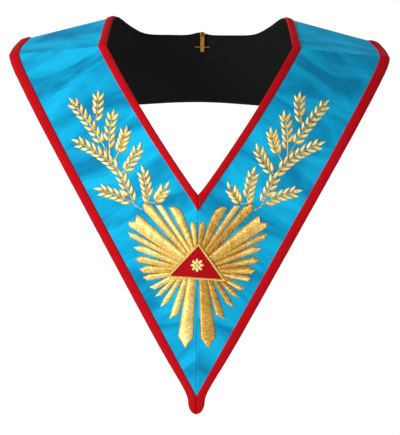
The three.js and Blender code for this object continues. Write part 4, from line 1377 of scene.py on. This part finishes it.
@dataclass
class Leaves:
    """The stems and leaves of a spray or a sprig on one side."""

    worn: Worn
    side: Side
    wardrobe: Wardrobe
    foliage: Foliage
    inset: float = -1.4
    base_z: float = -271.9
    size: float = 178.9
    leaf_length: float = 9.8
    leaf_width: float = 3.7
    leaf_bend: float = 0.7
    spread_deg: float = 36.0
    slant_deg: float = 34.0
    root_tone: float = 0.44
    painted_light_rise: float = 0.85
    underlay_shadow: float = 0.25
    foot_inset: float = 0.15
    seed: int = 23
    stem: float = 0.5
    stalk_step: float = 1.2
    stalk_foot: float = 0.05
    pitch: float = 0.52
    thread: float = 0.34
    crown: float = 0.95

    def leaf(self, work: StitchWork, base: np.ndarray, way: np.ndarray, hand: int) -> None:
        """Stitches one leaf.

        Args:
            work: The piece of work.
            base: Where it grows from the stem.
            way: Its unit direction.
            hand: -1 or 1, the side of the stem, which its stitches lean to.
        """
        square = crosswise(way)
        t = np.linspace(0, 1, 13)
        half = self.leaf_width / 2 * np.sin(math.pi * t**0.66) ** 0.8
        bend = self.leaf_bend * hand * 4 * t * (t - 1)
        spine = base + way * (t * self.leaf_length)[:, None] + square * bend[:, None]
        outline = pointed_outline(spine, square, half)
        stitch = turned(way, math.radians(self.slant_deg) * hand)
        # Painted light: each leaf darker at its root and lighter towards its tip
        tone = tone_ramp(base, way, self.root_tone, self.painted_light_rise, self.leaf_length)
        work.underlay_shadow(outline, self.underlay_shadow)
        work.fill(outline, stitch, self.pitch, self.thread, self.crown, tone, steps=6)

    def stalk(self, work: StitchWork, points: np.ndarray) -> None:
        """Lays a stem of wrapped thread along points."""
        step = np.linalg.norm(np.diff(points, axis=0), axis=1)
        length = np.concatenate([[0], np.cumsum(step)])
        at = np.linspace(0, length[-1], max(4, int(length[-1] / self.stalk_step)))
        path = np.stack([np.interp(at, length, points[:, k]) for k in range(2)], axis=1)
        tones = 0.58 + 0.12 * np.sin(at * 4.0)
        work.lay(path[None], np.full((1, len(at)), self.stalk_foot), self.stem, tones[None], arc=6)

    def build(self) -> bpy.types.Object:
        """Makes the foliage of this side as one piece."""
        work = StitchWork(self.worn, self.side, self.seed)
        base = np.array([self.inset, self.base_z])
        self.stalk(work, np.array(self.foliage.trunk) * self.size + base)
        for branch in self.foliage.branches:
            start = np.array(branch.start) * self.size + base
            stem = Stem(start, np.array(branch.end) * self.size + base - start, branch.bow)
            self.stalk(work, np.array([stem.at(t) for t in np.linspace(0, 1, 20)]))
            self.leaf(work, stem.at(0.98), stem.way(0.99), 1)
            for i in range(branch.pairs + abs(branch.extra)):
                t = 1 - (branch.first + branch.gap * i) / float(np.linalg.norm(stem.chord))
                way = stem.way(t)
                for hand in (-1, 1) if i < branch.pairs else (branch.extra,):
                    out = turned(way, math.radians(self.spread_deg) * hand)
                    foot = stem.at(t) - hand * crosswise(way) * self.foot_inset
                    self.leaf(work, foot, out, hand)
        piece = work.finish(f"gold_{self.foliage.node}_{self.side.word}")
        self.wardrobe.dress(piece, Finish.GOLD)
        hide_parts(f"{self.foliage.node}_{self.side.word}")
        return piece


@dataclass
class Triangle:
    """The red triangle with its gold cord and rosette."""

    worn: Worn
    wardrobe: Wardrobe
    place: TrianglePlace = field(default_factory=TrianglePlace)
    field_height: float = 1.3
    cord_height: float = 2.2
    rosette_radius: float = 6.8
    petals: int = 8
    petal_half: float = 1.5
    petal_root: float = 1.2
    field_rows: int = 36
    field_under: float = 0.3
    under_cord: float = 0.4

    def build(self) -> list[bpy.types.Object]:
        """Makes the field, the cord and the rosette."""
        made = [self.build_field(), self.build_cord(), self.build_rosette()]
        for piece, finish, node in zip(made, (Finish.SATIN, Finish.GOLD, Finish.GOLD),
                                       ("triangle_field", "triangle_cord", "triangle_rosette")):
            self.wardrobe.dress(piece, finish)
            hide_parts(node)
        return made

    def build_field(self) -> bpy.types.Object:
        """Makes the satin field, padded a little in its middle."""
        left, right, top = self.place.outline(self.under_cord)
        rows = self.field_rows
        flat, heights = [], []
        for i in range(rows + 1):
            rise = i / rows
            a, b = left + (top - left) * rise, right + (top - right) * rise
            for share in np.linspace(0, 1, rows + 1):
                flat.append(a + (b - a) * share)
                edge = 4 * share * (1 - share) * 4 * rise * (1 - rise) if rise < 1 else 0.0
                heights.append(self.field_height + 0.35 * min(1.0, max(0.0, edge)) ** 0.5)
        flat, heights = np.array(flat), np.array(heights)
        face = self.worn.leg(flat[:, 0], flat[:, 1], heights)
        under = self.worn.leg(flat[:, 0], flat[:, 1], self.field_under)
        piece = make_object("satin_field", np.vstack([face, under]), sheet_faces(rows + 1, rows + 1))
        front_outward(piece)
        set_uv(piece, np.vstack([flat, flat]))
        return piece

    def build_cord(self) -> bpy.types.Object:
        """Makes the twisted cord that outlines the field."""
        corners = self.place.outline(self.place.cord_width / 2)
        loop = np.vstack([corners, corners[:1]])
        path = []
        for a, b in zip(loop, loop[1:]):
            count = int(np.linalg.norm(b - a) / 0.35)
            path += [a + (b - a) * k / count for k in range(count)]
        path.append(loop[0])
        path = np.array(path)
        work = StitchWork(self.worn, Side.RIGHT, 5)
        heights = np.full(len(path), self.cord_height)
        work.cord(path, heights, radius=0.6, ply=0.74, twist=3.6, tone=0.72)
        return work.finish("gold_cord")

    def build_rosette(self) -> bpy.types.Object:
        """Makes the plain rosette of satin petals."""
        work = StitchWork(self.worn, Side.RIGHT, 7)
        centre = self.place.point(0, self.place.inner_radius, 0)
        t = np.linspace(0, 1, 9)
        for k in range(self.petals):
            angle = math.tau * k / self.petals
            way = np.array([math.sin(angle), math.cos(angle)])
            square = crosswise(way)
            half = self.petal_half * np.sin(math.pi * t**1.2) ** 0.8
            reach = self.petal_root + t * (self.rosette_radius - self.petal_root)
            outline = pointed_outline(centre + way * reach[:, None], square, half)
            even = np.array([0, 0, 0.9])
            work.fill(outline, square, pitch=0.5, radius=0.32, crown=0.7, tone_at=even, base=1.75, steps=5)
        ring = np.array([(math.sin(a), math.cos(a)) for a in np.linspace(0, math.tau, 30)]) * 0.75 + centre
        work.cord(ring, np.full(len(ring), 2.3), radius=0.25, ply=0.5, twist=1.6, tone=0.9)
        return work.finish("gold_rosette")


@dataclass
class Hook:
    """The gilt hook folded over the neck edge at the back, with its cross wire."""

    worn: Worn
    wardrobe: Wardrobe
    width: float = 4.6
    thickness: float = 0.9
    inside_length: float = 21.5
    outside_length: float = 9.0
    wire: float = 0.8
    wire_length: float = 17.0
    wire_drop: float = 15.2
    aside: float = 2.9
    off_tape: float = 0.3
    off_lining: float = 1.2
    strip_sides: int = 8
    wire_sides: int = 10

    def set_in(self, along: np.ndarray, height: np.ndarray, across: np.ndarray) -> np.ndarray:
        """Places points given down the ribbon from the neck edge, off its face, and across it."""
        middle = np.array([0.5])
        start = self.worn.neck.at(middle)[0]
        down = self.worn.edge.at(middle)[0] - start
        down /= np.linalg.norm(down)
        side = np.array([1.0, 0.0, 0.0])
        off = np.cross(side, down)
        aside = (across + self.aside)[:, None] * side
        return start + along[:, None] * down + height[:, None] * off + aside

    def build(self) -> bpy.types.Object:
        """Makes the strip and the wire as one piece."""
        c = self.worn.cut
        wire_height = c.lining_top - c.lining_thickness - self.off_lining - self.wire
        low = wire_height - self.wire / 2 - self.thickness / 2
        high = c.tape_height + self.off_tape + self.thickness / 2
        bend = (high - low) / 2
        inner = np.linspace(self.inside_length, 0.0, 16)
        turn = np.linspace(0, math.pi, 14)[1:-1]
        along = np.concatenate([inner, -0.7 - 1.0 * np.sin(turn), np.linspace(0.0, self.outside_length, 8)])
        height = np.concatenate([
            np.full(len(inner), low), (low + high) / 2 - bend * np.cos(turn), np.full(8, high),
        ])
        gaps = np.hypot(np.diff(along), np.diff(height))
        length = np.concatenate([[0], np.cumsum(gaps)])
        round_end = self.width / 2
        fine = np.unique(np.concatenate([
            np.linspace(0, round_end, 9),
            np.linspace(round_end, length[-1] - round_end, 60),
            np.linspace(length[-1] - round_end, length[-1], 9),
        ]))
        along, height = np.interp(fine, length, along), np.interp(fine, length, height)
        way = np.stack([np.gradient(along), np.gradient(height)], axis=1)
        way /= np.linalg.norm(way, axis=1)[:, None]
        end = np.clip(np.minimum(fine, length[-1] - fine) / round_end, 0.02, 1)
        half = round_end * np.sqrt(1 - (1 - end) ** 2)
        section = np.array([
            (-1, -0.5), (-0.8, -1), (0.8, -1), (1, -0.5), (1, 0.5), (0.8, 1), (-0.8, 1), (-1, 0.5),
        ])
        rings = []
        for k in range(len(fine)):
            normal = np.array([-way[k, 1], way[k, 0]])
            off = section[:, 1] * self.thickness / 2
            rings.append(self.set_in(
                along[k] + normal[0] * off, height[k] + normal[1] * off, section[:, 0] * half[k]
            ))
        strip = np.vstack(rings)
        faces = self.tube_faces(len(fine), self.strip_sides, 0)
        x = np.linspace(-self.wire_length / 2, self.wire_length / 2, 41)
        sag = 0.9 * (x / x[-1]) ** 2
        end = np.clip((self.wire_length / 2 - np.abs(x)) / self.wire, 0.02, 1)
        radius = self.wire * np.sqrt(1 - (1 - end) ** 2)
        angles = np.linspace(0, math.tau, self.wire_sides, endpoint=False)
        wire = np.vstack([
            self.set_in(self.wire_drop - sag[k] + radius[k] * np.cos(angles),
                        wire_height + radius[k] * np.sin(angles), np.full(self.wire_sides, x[k]))
            for k in range(len(x))
        ])
        faces += self.tube_faces(len(x), self.wire_sides, len(strip))
        piece = make_object("gilt_hook", np.vstack([strip, wire]), faces)
        front_outward(piece)
        self.wardrobe.dress(piece, Finish.METAL)
        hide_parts("neck_hook")
        return piece

    def tube_faces(self, rings: int, sides: int, first: int) -> list[tuple[int, ...]]:
        """Returns the faces of a closed tube of rings of points."""
        faces: list[tuple[int, ...]] = []
        for i in range(rings - 1):
            for j in range(sides):
                k = (j + 1) % sides
                a, b = first + i * sides, first + (i + 1) * sides
                faces.append((a + j, a + k, b + k, b + j))
        faces.append(tuple(first + j for j in range(sides))[::-1])
        faces.append(tuple(first + (rings - 1) * sides + j for j in range(sides)))
        return faces


# Camera and light


@dataclass
class Studio:
    """The camera at the photograph's angle, a pale floor and soft light."""

    photo_distance_mm: float = 1500.0
    centre_mm: tuple[float, float] = (2.0, -212.5)
    front_mm: float = -100.0
    roll_deg: float = 0.5
    framing: float = 1.004
    picture_mm: float = 435.0
    sensor_mm: float = 36.0
    floor_drop_mm: float = 560.0

    def camera(self) -> None:
        """Makes the camera."""
        data = bpy.data.cameras.new("camera")
        data.sensor_width = self.sensor_mm
        data.lens = self.sensor_mm * self.photo_distance_mm / self.picture_mm * self.framing
        data.clip_end = 50.0
        camera = bpy.data.objects.new("camera", data)
        bpy.context.scene.collection.objects.link(camera)
        x, z = self.centre_mm
        camera.location = (x * MM, (self.front_mm - self.photo_distance_mm) * MM, z * MM)
        camera.rotation_euler = (math.pi / 2, -math.radians(self.roll_deg), 0)
        bpy.context.scene.camera = camera

    def floor(self) -> None:
        """Makes a pale floor that curves up behind the collar."""
        low = -self.floor_drop_mm
        wide, near, far, bend, high = 6000.0, -5000.0, 2600.0, 900.0, 5000.0
        profile = [(near, low), (far - bend, low)]
        for k in range(1, 13):
            turn = k / 12 * math.pi / 2
            profile.append((far - bend + bend * math.sin(turn), low + bend * (1 - math.cos(turn))))
        profile.append((far, high))
        points = [(x, y, z) for x in (-wide, wide) for y, z in profile]
        piece = make_object("floor", np.array(points), grid_faces(2, len(profile)))
        r = Recipe("pale_studio_paper")
        grain = r.add("ShaderNodeTexNoise", {"Scale": 60.0})
        bump = r.add("ShaderNodeBump", {"Strength": 0.02, "Height": grain.outputs[0]})
        r.feed("Normal", bump.outputs[0])
        r.fix(Base_Color=(0.93, 0.93, 0.93, 1), Roughness=0.95)
        piece.data.materials.append(r.material)
        piece.parent = None

    def area(self, name: str, place: tuple[float, float, float], target: tuple[float, float, float],
             size: float, power: float) -> None:
        """Adds a soft light.

        Args:
            name: The light's name.
            place: Where it stands, in metres.
            target: Where it points, in metres.
            size: Its side, in metres.
            power: Its power, in watts.
        """
        data = bpy.data.lights.new(name, "AREA")
        data.size = size
        data.energy = power
        light = bpy.data.objects.new(name, data)
        light.location = place
        light.rotation_euler = (Vector(target) - Vector(place)).to_track_quat("-Z", "Y").to_euler()
        bpy.context.scene.collection.objects.link(light)

    def lights(self) -> None:
        """Adds a key light from the upper left, a fill light and a white surround."""
        self.area("key", (-1.15, -1.3, 0.15), (0, 0, -0.22), 0.55, 26)
        self.area("fill", (1.2, -2.2, -0.5), (0, 0, -0.2), 1.6, 5)
        self.area("paper_left", (-1.7, 1.4, 1.6), (-0.3, 2.5, -0.4), 1.4, 34)
        self.area("paper_right", (1.7, 1.4, 1.6), (0.3, 2.5, -0.4), 1.4, 34)
        world = bpy.data.worlds.new("surround")
        world.use_nodes = True
        background = world.node_tree.nodes["Background"]
        background.inputs["Color"].default_value = (1, 1, 1, 1)
        background.inputs["Strength"].default_value = 0.26
        bpy.context.scene.world = world
        bpy.context.scene.view_settings.view_transform = "Standard"


def main() -> None:
    """Builds the collar on its frame."""
    logging.basicConfig(level=logging.INFO, format="%(name)s: %(message)s")
    studio = Studio()
    studio.camera()
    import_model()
    studio.floor()
    studio.lights()
    worn = Worn(Cut())
    wardrobe = Wardrobe()
    for side in Side:
        leg = Leg(worn, side, wardrobe)
        leg.build()
        LOG.info("leg %s: %d pieces", side.word, len(leg.pieces))
    yoke = Yoke(worn, wardrobe)
    yoke.build()
    LOG.info("shoulders and back: %d pieces", len(yoke.pieces))
    for side in Side:
        for work in (Rays(worn, side, wardrobe), Leaves(worn, side, wardrobe, SPRAY),
                     Leaves(worn, side, wardrobe, SPRIG)):
            piece = work.build()
            LOG.info("%s: %d faces", piece.name, len(piece.data.polygons))
    for piece in Triangle(worn, wardrobe).build():
        LOG.info("%s: %d faces", piece.name, len(piece.data.polygons))
    Hook(worn, wardrobe).build()
    LOG.info("hook")


if __name__ == "__main__":
    main()
